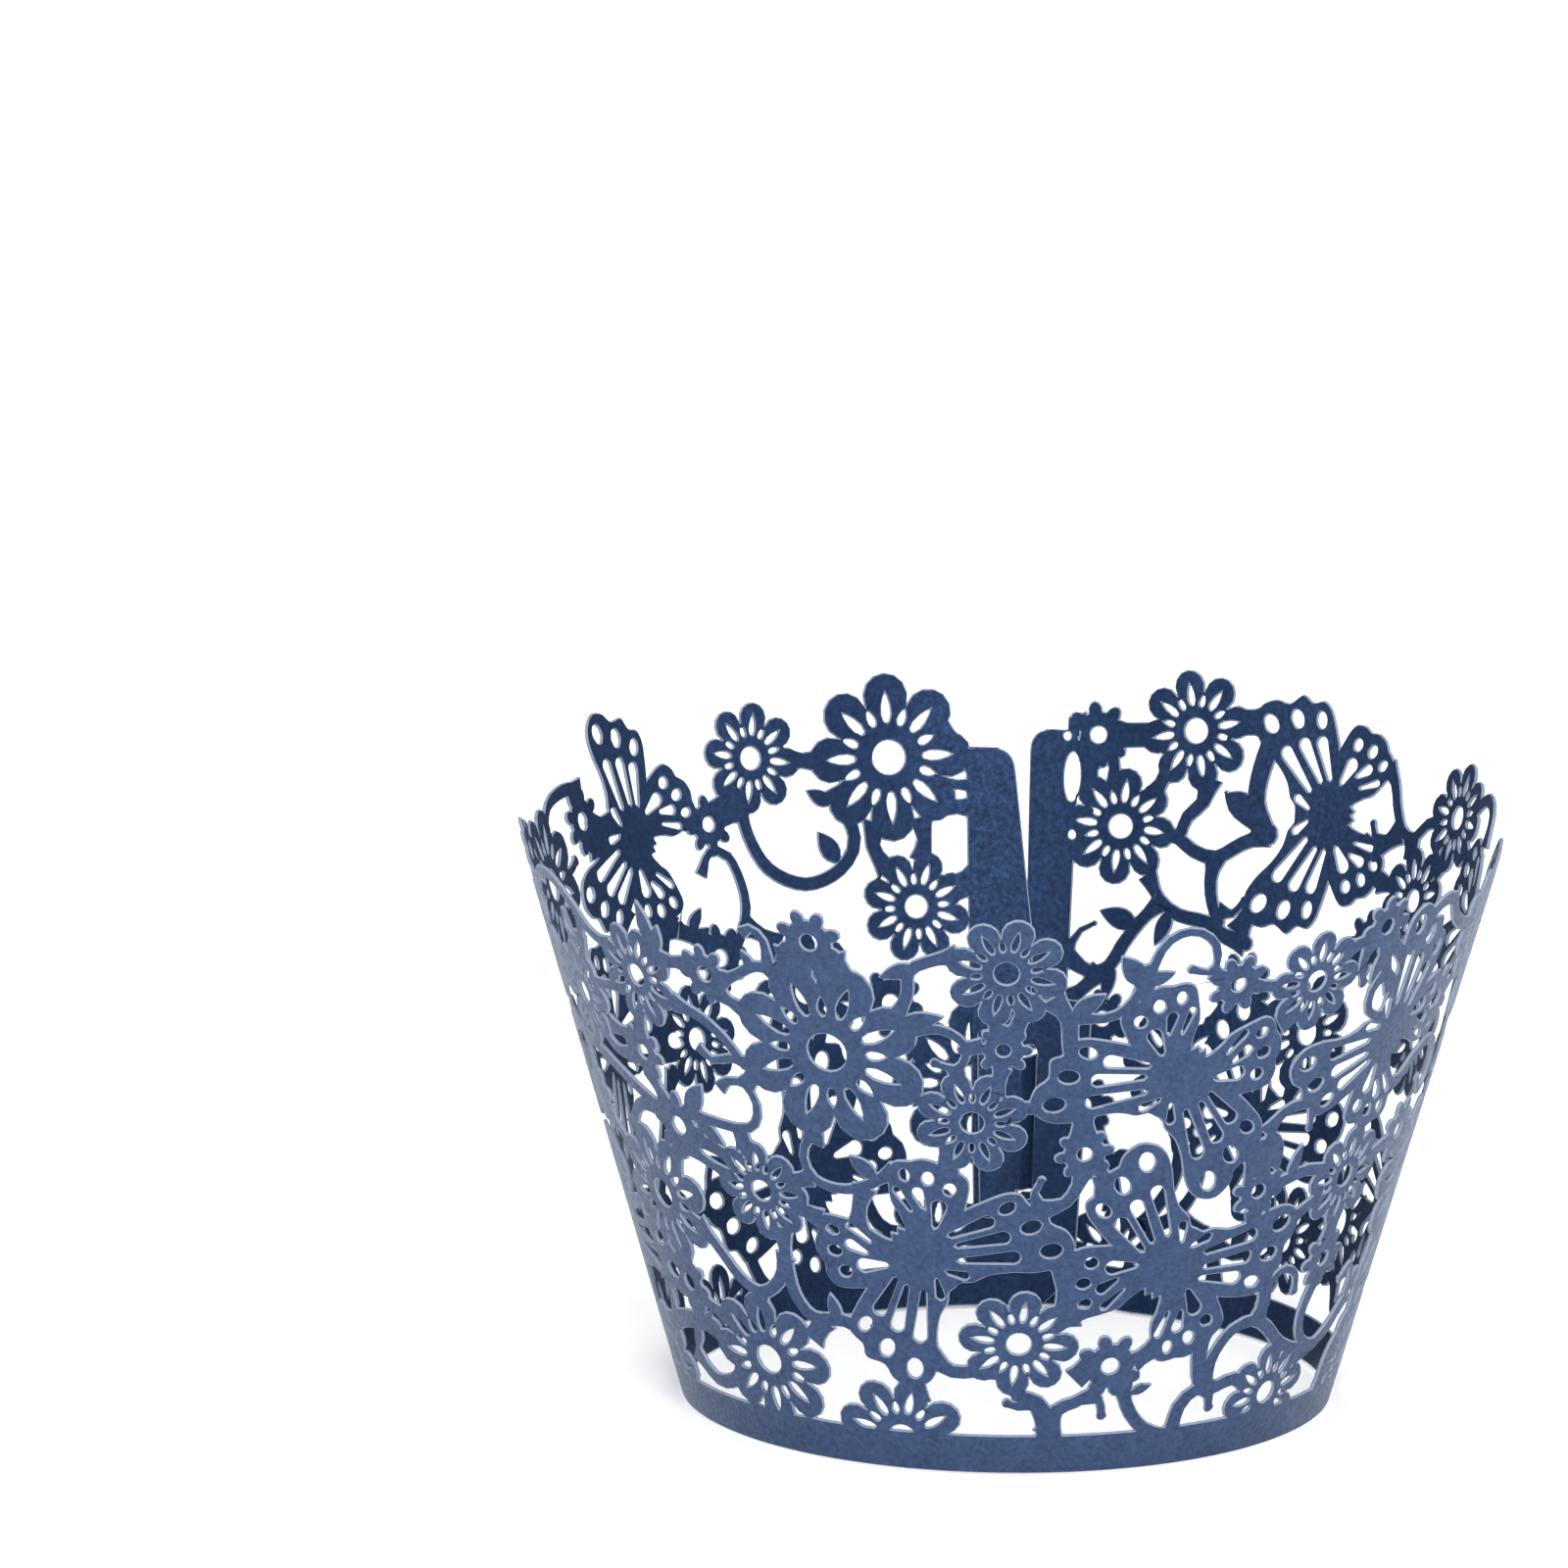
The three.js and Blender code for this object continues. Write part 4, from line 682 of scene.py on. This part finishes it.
    (((-100.6, 36.4), (-97.6, 31.4), (-93.4, 29.4)), 1.2, 1.2), (((-147.6, 30.4), (-142.3, 32.4)), 1.2, 1.2),
    (((-117, 46.6), (-112.6, 47.2), (-107, 46.8), (-104, 45), (-105, 42.3), (-108, 41), (-111, 41.6)), 1.3, 0.8),
))

# Foot, tip and width
LEAVES = tuple(Leaf(*row) for row in (
    ((76.8, 12.6), (79, 15.8), 1.7), ((-92.6, 11.2), (-88.8, 12.8), 1.6), ((163.4, 11.8), (158.8, 12.8), 1.7),
    ((138.4, 6.4), (135.8, 9.4), 1.6), ((-157, 8.2), (-152.6, 7), 1.5), ((-118.2, 10.6), (-115.6, 13.6), 1.6),
    ((-48.2, 44.4), (-49.3, 48.6), 1.7), ((-47.9, 44), (-46.4, 46.8), 1.5), ((-47.4, 29.6), (-42.2, 27.4), 1.5),
    ((36.4, 30), (39.8, 25.8), 2.2), ((50.2, 44.8), (48.6, 41.6), 1.3), ((-59.4, 9.4), (-62.6, 6.6), 1.3),
    ((7, 42.2), (11.1, 44.1), 1.7), ((15.8, 44.6), (12.4, 47.5), 2), ((15.4, 44.8), (19.4, 45.7), 1.4),
    ((-11.4, 46.4), (-16.2, 45.1), 1.5), ((-14, 41.1), (-8.2, 41.9), 1.6), ((-48.6, 29.6), (-44.4, 32.8), 2),
    ((-32.4, 44.4), (-33.8, 46.2), 1.1), ((-18.6, 26.6), (-22.4, 28.6), 1.6), ((-27.2, 12.8), (-28.1, 15.6), 1.3),
    ((42, 24.8), (43.3, 28.2), 1.3), ((20, 7), (24.1, 7.7), 1), ((148, 42), (152.4, 42.8), 1.6),
    ((162.6, 31.2), (168, 32.2), 1.9), ((157.8, 32.8), (159.8, 29.6), 1.5), ((165.6, 28.2), (166.4, 24.6), 1.3),
    ((-157.4, 41.2), (-154, 42.6), 1.4), ((-132.4, 32.8), (-135.6, 34.6), 1.3), ((-157.6, 36.4), (-155, 39.2), 1.8),
))


# The closure


@dataclass(frozen=True)
class Closure:
    """Back panels of the blank's two ends, the slit in the inner one and the tongue on the outer one.

    Places round are in degrees, and the rest is in millimetres.
    """

    inner_lace: float = -174.7
    inner_edge: tuple[Point, ...] = ((-180.5, 45.3), (-182.4, 35.0), (-183.5, 30.0), (-183.5, 25.0))
    inner_foot: float = -192.3
    chamfer: float = 2.6
    outer_lace: float = 171.6
    outer_edge: float = 177.5
    outer_top: float = 46.7
    slit_at: float = -183.4
    slit_low: float = 9.3
    slit_high: float = 20.5
    slit_width: float = 1.0
    relief: float = 1.3
    tongue_reach: float = 3.1
    tongue_overhang: float = 2.1
    cut: float = 0.35
    cuts_from: float = 174.6
    lap_from: float = 156.0
    lap_to: float = 163.0
    layer_gap: float = 0.35
    corner: float = 1.8
    hook_corner: float = 0.8

    CORNER_STEPS = 6
    ROUND_STEPS = 20
    # Overlaps, in degrees round: the neck into the panel and the hooks, and each cut past the panel's edge
    NECK_LAP = 1.0
    CUT_LAP = 0.5
    # The tongue dives from this many degrees past the edge, and up to this many millimetres beyond its hooks.
    DIVE_FROM = 0.2
    DIVE_MARGIN = 1.0
    # Small windows beside the outer panel: place, width and length
    PANEL_WINDOWS = (((172.3, 42.9), 1.3, 4.0), ((173.1, 46.2), 0.6, 0.7), ((172.0, 38.2), 0.6, 0.7))

    def trimmed(self, cone: Cone, corners: list[tuple[float, float, float]]) -> Outline:
        """Outline of places, each with its corner radius, the level edges curved with the band.

        Args:
            cone: the blank.
            corners: round, up and radius of each corner.

        Returns:
            The closed outline on the blank.
        """
        made: Outline = []
        for i, (around, up, radius) in enumerate(corners):
            before, after = corners[i - 1], corners[(i + 1) % len(corners)]
            here = Vector(cone.flat(around, up))
            if up == before[1]:
                steps = math.ceil(abs(around - before[0]) / CHORD)
                made += [cone.flat(before[0] + (around - before[0]) * k / steps, up) for k in range(1, steps)]
            if radius == 0:
                made.append(tuple(here))
                continue
            start = here + (Vector(cone.flat(before[0], before[1])) - here).normalized() * radius
            end = here + (Vector(cone.flat(after[0], after[1])) - here).normalized() * radius
            for k in range(self.CORNER_STEPS + 1):
                t = k / self.CORNER_STEPS
                made.append(tuple(start * (1 - t) ** 2 + here * 2 * t * (1 - t) + end * t * t))
        return made

    def inner_panel(self, cone: Cone) -> tuple[list[Outline], list[Outline]]:
        """Panel that lies inside.

        Args:
            cone: the blank.

        Returns:
            Its outline, and the slit with its round ends.
        """
        top = self.inner_edge[0]
        foot_top = self.inner_edge[-1][1]
        outline = self.trimmed(
            cone,
            [
                (self.inner_lace, 0, 0),
                (self.inner_lace, top[1], 0),
                (*top, self.corner),
                *[(around, up, 0) for around, up in self.inner_edge[1:]],
                (self.inner_foot, foot_top, self.corner),
                (self.inner_foot, self.chamfer, 0),
                (self.inner_foot + cone.degrees(self.chamfer, 0), 0, 0),
            ],
        )
        half = cone.degrees(self.slit_width / 2, self.slit_low)
        slit = cone.strip(self.slit_at - half, self.slit_at + half, self.slit_low, self.slit_high)
        ends = [
            ring(cone.flat(self.slit_at, up), self.relief / 2, self.ROUND_STEPS)
            for up in (self.slit_low, self.slit_high)
        ]
        return [outline], [slit, *ends]

    def outer_panel(self, cone: Cone) -> tuple[list[Outline], list[Outline]]:
        """Panel that lies outside, with the tongue.

        Args:
            cone: the blank.

        Returns:
            The outlines of the panel, the tongue's neck and its hooks, and the windows: the two cuts that free the
            tongue, and the small windows beside the panel.
        """
        low, high, edge = self.slit_low, self.slit_high, self.outer_edge
        panel = self.trimmed(
            cone,
            [
                (self.outer_lace, 0, 0),
                (edge, 0, 0),
                (edge, self.outer_top, self.corner),
                (self.outer_lace, self.outer_top, 0),
            ],
        )
        head = edge + cone.degrees(self.cut, low)
        tip = head + cone.degrees(self.tongue_reach, low)
        neck = cone.strip(edge - self.NECK_LAP, head + self.NECK_LAP, low + self.cut / 2, high - self.cut / 2)
        below, above = low - self.tongue_overhang, high + self.tongue_overhang
        hooks = self.trimmed(
            cone, [(*place, self.hook_corner) for place in ((head, below), (tip, below), (tip, above), (head, above))]
        )
        cuts = [
            cone.strip(self.cuts_from, edge + self.CUT_LAP, up - self.cut / 2, up + self.cut / 2)
            for up in (low, high)
        ]
        holes = [
            cone.lay(oval((0, 0), across, along, 90, self.ROUND_STEPS), place)
            for place, across, along in self.PANEL_WINDOWS
        ]
        return [panel, neck, hooks], cuts + holes

    def lift(self, cone: Cone, around: float, up: float) -> float:
        """How far the card lies outside its cone: the outer end rides over, and its tongue dives through the slit.

        Args:
            cone: the blank.
            around: place round, in degrees.
            up: place up the slope.

        Returns:
            The lift in millimetres.
        """
        if around < self.lap_from:
            return 0.0
        over = cone.card + self.layer_gap
        t = min(1.0, (around - self.lap_from) / (self.lap_to - self.lap_from))
        rise = over * t * t * (3 - 2 * t)
        low, high, reach = self.slit_low, self.slit_high, self.tongue_overhang + self.DIVE_MARGIN
        in_tongue = low - reach < up < high + reach and around > self.outer_edge + self.DIVE_FROM
        if not (low < up < high or in_tongue):
            return rise
        half = cone.degrees(self.slit_width / 2, low)
        through_slit = min(1.0, max(0.0, (around - (360 + self.slit_at - half)) / (2 * half)))
        return rise + (-over - rise) * through_slit


# Finishes


def linear(hex_colour: str) -> tuple[float, float, float, float]:
    """sRGB hex colour as linear RGBA.

    Args:
        hex_colour: the colour as #RRGGBB.

    Returns:
        Red, green, blue and a full alpha.
    """
    channels = [int(hex_colour.lstrip("#")[i : i + 2], 16) / 255 for i in (0, 2, 4)]
    made = [c / 12.92 if c <= 0.04045 else ((c + 0.055) / 1.055) ** 2.4 for c in channels]
    return (*made, 1.0)


def add_node(
    tree: bpy.types.NodeTree,
    kind: str,
    settings: dict | None = None,
    inputs: dict | None = None,
    links: dict | None = None,
) -> bpy.types.Node:
    """One node with its settings and links.

    Args:
        tree: the material's node tree.
        kind: the node's type name.
        settings: node properties by name.
        inputs: socket values by name or number.
        links: source sockets by the name of the input that they feed.

    Returns:
        The node.
    """
    node = tree.nodes.new(kind)
    for name, value in (settings or {}).items():
        setattr(node, name, value)
    for name, value in (inputs or {}).items():
        node.inputs[name].default_value = value
    for name, socket in (links or {}).items():
        tree.links.new(socket, node.inputs[name])
    return node


def new_material(name: str) -> tuple[bpy.types.Material, bpy.types.NodeTree, bpy.types.Node]:
    """Material with a plain surface shader.

    Args:
        name: the material's name.

    Returns:
        The material, its node tree and its shader.
    """
    made = bpy.data.materials.new(name)
    made.use_nodes = True
    return made, made.node_tree, made.node_tree.nodes["Principled BSDF"]


@dataclass(frozen=True)
class PearlCard:
    """Pearlescent navy card stock, coated with pigment flakes and calendered against a felt.

    To the eye it is a satin navy with a soft glint on the grain, and the darker dye shows in the grain's lows.
    """

    name: str = "pearl_navy_card"
    high: str = "#314769"
    low: str = "#1B2D4E"
    # The felt's grain is about 0.2 mm across, too fine to show, so it is drawn twice as coarse.
    grain_mm: float = 0.42
    # The coating lies in faint clouds of about 2 mm.
    mottle_mm: float = 2.2
    mottle_share: float = 0.4
    grain_depth_mm: float = 0.06
    roughness: float = 0.42
    # How much rougher the grain's lows are, and how much smoother its highs
    duller: float = 0.1
    glossier: float = 0.06
    metallic: float = 0.5
    specular: float = 0.5

    def material(self) -> bpy.types.Material:
        """Felt grain over faint clouds, in colour, gloss and relief.

        Returns:
            The card's material.
        """
        made, tree, shader = new_material(self.name)
        place = add_node(tree, "ShaderNodeTexCoord").outputs["Object"]
        grain = add_node(
            tree,
            "ShaderNodeTexNoise",
            inputs={"Scale": 1 / (self.grain_mm * MM), "Detail": 3.0, "Roughness": 0.6},
            links={"Vector": place},
        )
        mottle = add_node(
            tree,
            "ShaderNodeTexNoise",
            inputs={"Scale": 1 / (self.mottle_mm * MM), "Detail": 2.0, "Roughness": 0.5},
            links={"Vector": place},
        )
        both = add_node(
            tree,
            "ShaderNodeMath",
            {"operation": "MULTIPLY_ADD"},
            {1: self.mottle_share},
            {0: mottle.outputs["Fac"], 2: grain.outputs["Fac"]},
        )
        share = add_node(
            tree,
            "ShaderNodeMapRange",
            inputs={"From Min": 0.45, "From Max": 0.95},
            links={"Value": both.outputs[0]},
        )
        colour = add_node(
            tree,
            "ShaderNodeMix",
            {"data_type": "RGBA"},
            {"A": linear(self.low), "B": linear(self.high)},
        )
        tree.links.new(share.outputs[0], colour.inputs["Factor"])
        tree.links.new(colour.outputs["Result"], shader.inputs["Base Color"])
        gloss = add_node(
            tree,
            "ShaderNodeMapRange",
            inputs={
                "From Min": 0.3,
                "From Max": 0.7,
                "To Min": self.roughness + self.duller,
                "To Max": self.roughness - self.glossier,
            },
            links={"Value": grain.outputs["Fac"]},
        )
        tree.links.new(gloss.outputs[0], shader.inputs["Roughness"])
        bump = add_node(
            tree,
            "ShaderNodeBump",
            inputs={"Strength": 0.55, "Distance": self.grain_depth_mm * MM},
            links={"Height": grain.outputs["Fac"]},
        )
        tree.links.new(bump.outputs["Normal"], shader.inputs["Normal"])
        shader.inputs["Metallic"].default_value = self.metallic
        shader.inputs["Specular IOR Level"].default_value = self.specular
        shader.inputs["IOR"].default_value = 1.5
        return made


@dataclass(frozen=True)
class CutEdge:
    """Laser-cut edge of the card: bare paper fibre, with no coating on it.

    To the eye it is a thin pale matt line round every window, faintly flecked.
    """

    name: str = "laser_cut_card_edge"
    pale: str = "#7D8799"
    dark: str = "#5B677C"
    # Paper fibres are about 0.03 mm thick, far too fine to show, so they are drawn as flecks ten times as coarse.
    fibre_mm: float = 0.35
    fibre_depth_mm: float = 0.03
    roughness: float = 0.75

    def material(self) -> bpy.types.Material:
        """Flecks of fibre, in colour and relief.

        Returns:
            The edge's material.
        """
        made, tree, shader = new_material(self.name)
        place = add_node(tree, "ShaderNodeTexCoord").outputs["Object"]
        fibre = add_node(
            tree,
            "ShaderNodeTexNoise",
            inputs={"Scale": 1 / (self.fibre_mm * MM), "Detail": 2.0},
            links={"Vector": place},
        )
        colour = add_node(
            tree,
            "ShaderNodeMix",
            {"data_type": "RGBA"},
            {"A": linear(self.dark), "B": linear(self.pale)},
            {"Factor": fibre.outputs["Fac"]},
        )
        tree.links.new(colour.outputs["Result"], shader.inputs["Base Color"])
        bump = add_node(
            tree,
            "ShaderNodeBump",
            inputs={"Strength": 0.4, "Distance": self.fibre_depth_mm * MM},
            links={"Height": fibre.outputs["Fac"]},
        )
        tree.links.new(bump.outputs["Normal"], shader.inputs["Normal"])
        shader.inputs["Roughness"].default_value = self.roughness
        return made


# The wrapper


@dataclass
class Wrapper:
    """The whole wrapper: its blank cut to lace, rolled up and closed. Sizes are in millimetres and degrees."""

    cone: Cone = Cone()
    closure: Closure = Closure()
    band: float = 3.5
    # How far the lace runs in under each panel, in degrees, and stands above the rim line
    under_inner: float = 0.5
    under_outer: float = 1.5
    crest: float = 2.0
    # Spacing of the support points, and the stretch round that they cover, in degrees
    support: float = 2.6
    support_from: float = -192.0
    support_span: float = 376.0
    # Points nearer than this are one point, in the drawing and on the rolled sheet
    merge: float = 0.004
    weld: float = 0.05
    # Chamfer that shows as the pale line round each window, and how far its corners may lie from the sheet's own
    halo: float = 0.11
    halo_angle: float = 60.0
    farthest: float = 0.4
    smooth_angle: float = 35.0
    facing: PearlCard = PearlCard()
    # The inner side is the same card, its colour painted darker as painted shade for the inside of the cone, and with
    # less gloss.
    reverse: PearlCard = PearlCard(
        "card_reverse_painted_shade", "#193050", "#0E1D37", roughness=0.48, metallic=0.45, specular=0.15
    )
    edge: CutEdge = CutEdge()

    def areas(self) -> list[tuple[Area, Outline]]:
        """Every outline of the drawing.

        Returns:
            The outlines on the blank, each with what it stands for.
        """
        cone, closure = self.cone, self.closure
        motifs = [*DAISIES, *FLOWERS, *BUTTERFLIES, *TENDRILS, *LEAVES]
        made = [(Area.LACE, points) for motif in motifs for points in motif.outlines(cone)]
        made += [(Area.LACE_WINDOW, points) for motif in motifs for points in motif.windows(cone)]
        start, end = closure.inner_lace - self.under_inner, closure.outer_lace + self.under_outer
        made.append((Area.FIELD, cone.strip(start, end, 0, cone.slope + self.crest)))
        made.append((Area.CARD, cone.strip(start, end, 0, self.band)))
        for outlines, windows in (closure.inner_panel(cone), closure.outer_panel(cone)):
            made += [(Area.CARD, points) for points in outlines]
            made += [(Area.CARD_WINDOW, points) for points in windows]
        return made

    def support_points(self) -> list[Point]:
        """Evenly spread points that let the flat faces follow the cone.

        Returns:
            The points on the blank.
        """
        cone, made = self.cone, []
        rows = int((cone.slope + self.crest) / self.support)
        for row in range(1, rows + 1):
            up = row * self.support
            step = cone.degrees(self.support, up)
            first = self.support_from + (step / 2 if row % 2 else 0)
            made += [cone.flat(first + k * step, up) for k in range(int(self.support_span / step))]
        return made

    def cut_blank(self) -> tuple[list[Point], list[list[int]]]:
        """The cut blank as flat triangles.

        Returns:
            Points of the flat blank, and the triangles that are card.
        """
        points: list[Vector] = []
        faces: list[list[int]] = []
        kinds: list[Area] = []
        for kind, outline in self.areas():
            doubled = sum(a[0] * b[1] - b[0] * a[1] for a, b in zip(outline, outline[1:] + outline[:1]))
            ordered = outline if doubled > 0 else list(reversed(outline))
            faces.append(list(range(len(points), len(points) + len(ordered))))
            points += [Vector(p) for p in ordered]
            kinds.append(kind)
        points += [Vector(p) for p in self.support_points()]
        places, _, triangles, _, _, owners = delaunay_2d_cdt(points, [], faces, 0, self.merge, True)
        card = []
        for triangle, ids in zip(triangles, owners):
            found = {kinds[i] for i in ids}
            lace = {Area.LACE, Area.FIELD} <= found and Area.LACE_WINDOW not in found
            if Area.CARD_WINDOW not in found and (lace or Area.CARD in found):
                card.append(list(triangle))
        return [tuple(p) for p in places], card

    def rolled(self, x: float, y: float) -> Vector:
        """Point of the flat blank, rolled up.

        Args:
            x: its x on the blank.
            y: its y on the blank.

        Returns:
            The point on the wrapper's outer face, in metres.
        """
        cone = self.cone
        around, up = cone.place(x, y)
        radius = cone.base_diameter / 2 + up * cone.taper + self.closure.lift(cone, around, up)
        angle = math.radians(around)
        return Vector((radius * math.sin(angle), -radius * math.cos(angle), up * cone.height / cone.slope)) * MM

    def build(self) -> bpy.types.Object:
        """The rolled card with its thickness.

        Returns:
            The finished object.
        """
        places, card = self.cut_blank()
        used = sorted({v for triangle in card for v in triangle})
        index = {v: i for i, v in enumerate(used)}
        mesh = bpy.data.meshes.new("lace_wrapper")
        mesh.from_pydata([self.rolled(*places[v]) for v in used], [], [[index[v] for v in t] for t in card])
        mesh.validate()
        piece = bpy.data.objects.new("lace_wrapper", mesh)
        bpy.context.scene.collection.objects.link(piece)
        self.thicken(piece)
        return piece

    def thicken(self, piece: bpy.types.Object) -> None:
        """Gives the sheet its card thickness, inwards, with the cut edge as its own material.

        Args:
            piece: the rolled sheet.
        """
        finishes = (self.facing, self.edge, self.reverse)
        for finish in finishes:
            piece.data.materials.append(finish.material())
        solid = piece.modifiers.new("card_thickness", "SOLIDIFY")
        solid.thickness = self.cone.card * MM
        solid.offset = -1.0
        solid.use_rim = True
        solid.material_offset = finishes.index(self.reverse)
        solid.material_offset_rim = finishes.index(self.edge)
        halo = piece.modifiers.new("laser_halo", "BEVEL")
        halo.width = self.halo * MM
        halo.limit_method = "ANGLE"
        halo.angle_limit = math.radians(self.halo_angle)
        halo.use_clamp_overlap = False
        halo.material = finishes.index(self.edge)
        select_only(piece)
        bpy.ops.object.mode_set(mode="EDIT")
        bpy.ops.mesh.select_all(action="SELECT")
        bpy.ops.mesh.remove_doubles(threshold=self.weld * MM)
        bpy.ops.object.mode_set(mode="OBJECT")
        bpy.ops.object.modifier_apply(modifier=solid.name)
        corners = KDTree(len(piece.data.vertices))
        for vertex in piece.data.vertices:
            corners.insert(vertex.co, vertex.index)
        corners.balance()
        bpy.ops.object.modifier_apply(modifier=halo.name)
        self.pull_in_spikes(piece, corners)
        bpy.ops.object.shade_smooth_by_angle(angle=math.radians(self.smooth_angle))

    def pull_in_spikes(self, piece: bpy.types.Object, corners: KDTree) -> None:
        """Draws back each chamfer corner that a very narrow notch has thrown far from the sheet's own corners.

        Args:
            piece: the chamfered sheet.
            corners: the corners before the chamfer.
        """
        vertices = piece.data.vertices
        far = {v.index for v in vertices if corners.find(v.co)[2] > self.farthest * MM}
        LOG.info("%d chamfer corners drawn back", len(far))
        for edge in piece.data.edges:
            for out, kept in (edge.vertices, reversed(edge.vertices)):
                if out in far and kept not in far:
                    vertices[out].co = vertices[kept].co
                    far.discard(out)


def select_only(piece: bpy.types.Object) -> None:
    """Makes one object the only selected one, and the active one.

    Args:
        piece: the object.
    """
    bpy.ops.object.select_all(action="DESELECT")
    piece.select_set(True)
    bpy.context.view_layer.objects.active = piece


# The studio


@dataclass
class Studio:
    """Plain pale floor, soft lights and the camera. Its angles are in degrees."""

    focal_px: float = 30000.0
    frame_px: float = 1600.0
    sensor_mm: float = 36.0
    near_m: float = 0.05
    far_m: float = 20.0
    distance_mm: float = 2359.64
    shift_mm: Point = (17.796, 48.526)
    tilt: float = 13.871
    roll: float = 0.537
    floor_m: float = 6.0
    floor_drop_m: float = 0.0002
    floor_glow: float = 0.15
    room_glow: float = 0.55

    AIM = (0, 0, 0.025)
    # Name, place in metres, side in metres and watts
    LIGHTS = (
        ("key", (0.15, -1.1, 0.55), 0.45, 12.5),
        ("left_side", (-1.0, -0.25, 0.4), 0.6, 6.0),
        ("right_side", (1.0, -0.25, 0.4), 0.6, 6.0),
        ("top", (0.0, -0.1, 1.2), 0.8, 5.0),
    )

    def camera(self) -> None:
        """Adds the camera at the photograph's viewing angle."""
        tilt, roll = math.radians(self.tilt), math.radians(self.roll)
        base = Matrix(((1, 0, 0), (0, 0, -1), (0, 1, 0)))
        leaned = Matrix(((1, 0, 0), (0, math.cos(tilt), -math.sin(tilt)), (0, math.sin(tilt), math.cos(tilt))))
        rolled = Matrix(((math.cos(roll), -math.sin(roll), 0), (math.sin(roll), math.cos(roll), 0), (0, 0, 1)))
        turn = rolled @ leaned @ base
        offset = Vector((*self.shift_mm, self.distance_mm)) * MM
        lens = bpy.data.cameras.new("camera")
        lens.sensor_width = self.sensor_mm
        lens.lens = self.sensor_mm * self.focal_px / self.frame_px
        lens.clip_start, lens.clip_end = self.near_m, self.far_m
        made = bpy.data.objects.new("camera", lens)
        axes = Matrix((turn[0], -turn[1], -turn[2])).transposed()
        made.matrix_world = Matrix.Translation(-(turn.transposed() @ offset)) @ axes.to_4x4()
        bpy.context.scene.collection.objects.link(made)
        bpy.context.scene.camera = made

    def area_light(self, name: str, spot: Point3, size: float, watts: float) -> None:
        """Adds a square soft light that faces the wrapper.

        Args:
            name: the light's name.
            spot: where it stands, in metres.
            size: side of the square, in metres.
            watts: its power.
        """
        light = bpy.data.lights.new(name, "AREA")
        light.size, light.energy = size, watts
        made = bpy.data.objects.new(name, light)
        made.location = spot
        made.rotation_mode = "QUATERNION"
        made.rotation_quaternion = (Vector(self.AIM) - Vector(spot)).to_track_quat("-Z", "Y")
        bpy.context.scene.collection.objects.link(made)

    def build(self) -> None:
        """Adds the floor, the lights and the camera."""
        bpy.ops.object.select_all(action="DESELECT")
        bpy.ops.mesh.primitive_plane_add(size=self.floor_m, location=(0, 0, -self.floor_drop_m))
        floor = bpy.context.active_object
        floor.name = "floor"
        paint, _, shader = new_material("pale_floor")
        shader.inputs["Base Color"].default_value = linear("#F8F8F8")
        shader.inputs["Roughness"].default_value = 0.9
        shader.inputs["Emission Color"].default_value = linear("#FFFFFF")
        shader.inputs["Emission Strength"].default_value = self.floor_glow
        floor.data.materials.append(paint)
        for light in self.LIGHTS:
            self.area_light(*light)
        world = bpy.data.worlds.new("soft_room")
        world.use_nodes = True
        room = world.node_tree.nodes["Background"]
        room.inputs["Color"].default_value = linear("#FFFFFF")
        room.inputs["Strength"].default_value = self.room_glow
        bpy.context.scene.world = world
        bpy.context.scene.view_settings.view_transform = "Standard"
        self.camera()


def main() -> None:
    """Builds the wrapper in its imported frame, dresses it and sets up the studio."""
    logging.basicConfig(level=logging.INFO, format="%(name)s: %(message)s")
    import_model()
    piece = Wrapper().build()
    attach(piece, "root")
    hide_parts("wrapper")
    triangles = sum(len(face.vertices) - 2 for face in piece.data.polygons)
    LOG.info("%s: %d triangles, rides on root", piece.name, triangles)
    Studio().build()


if __name__ == "__main__":
    main()
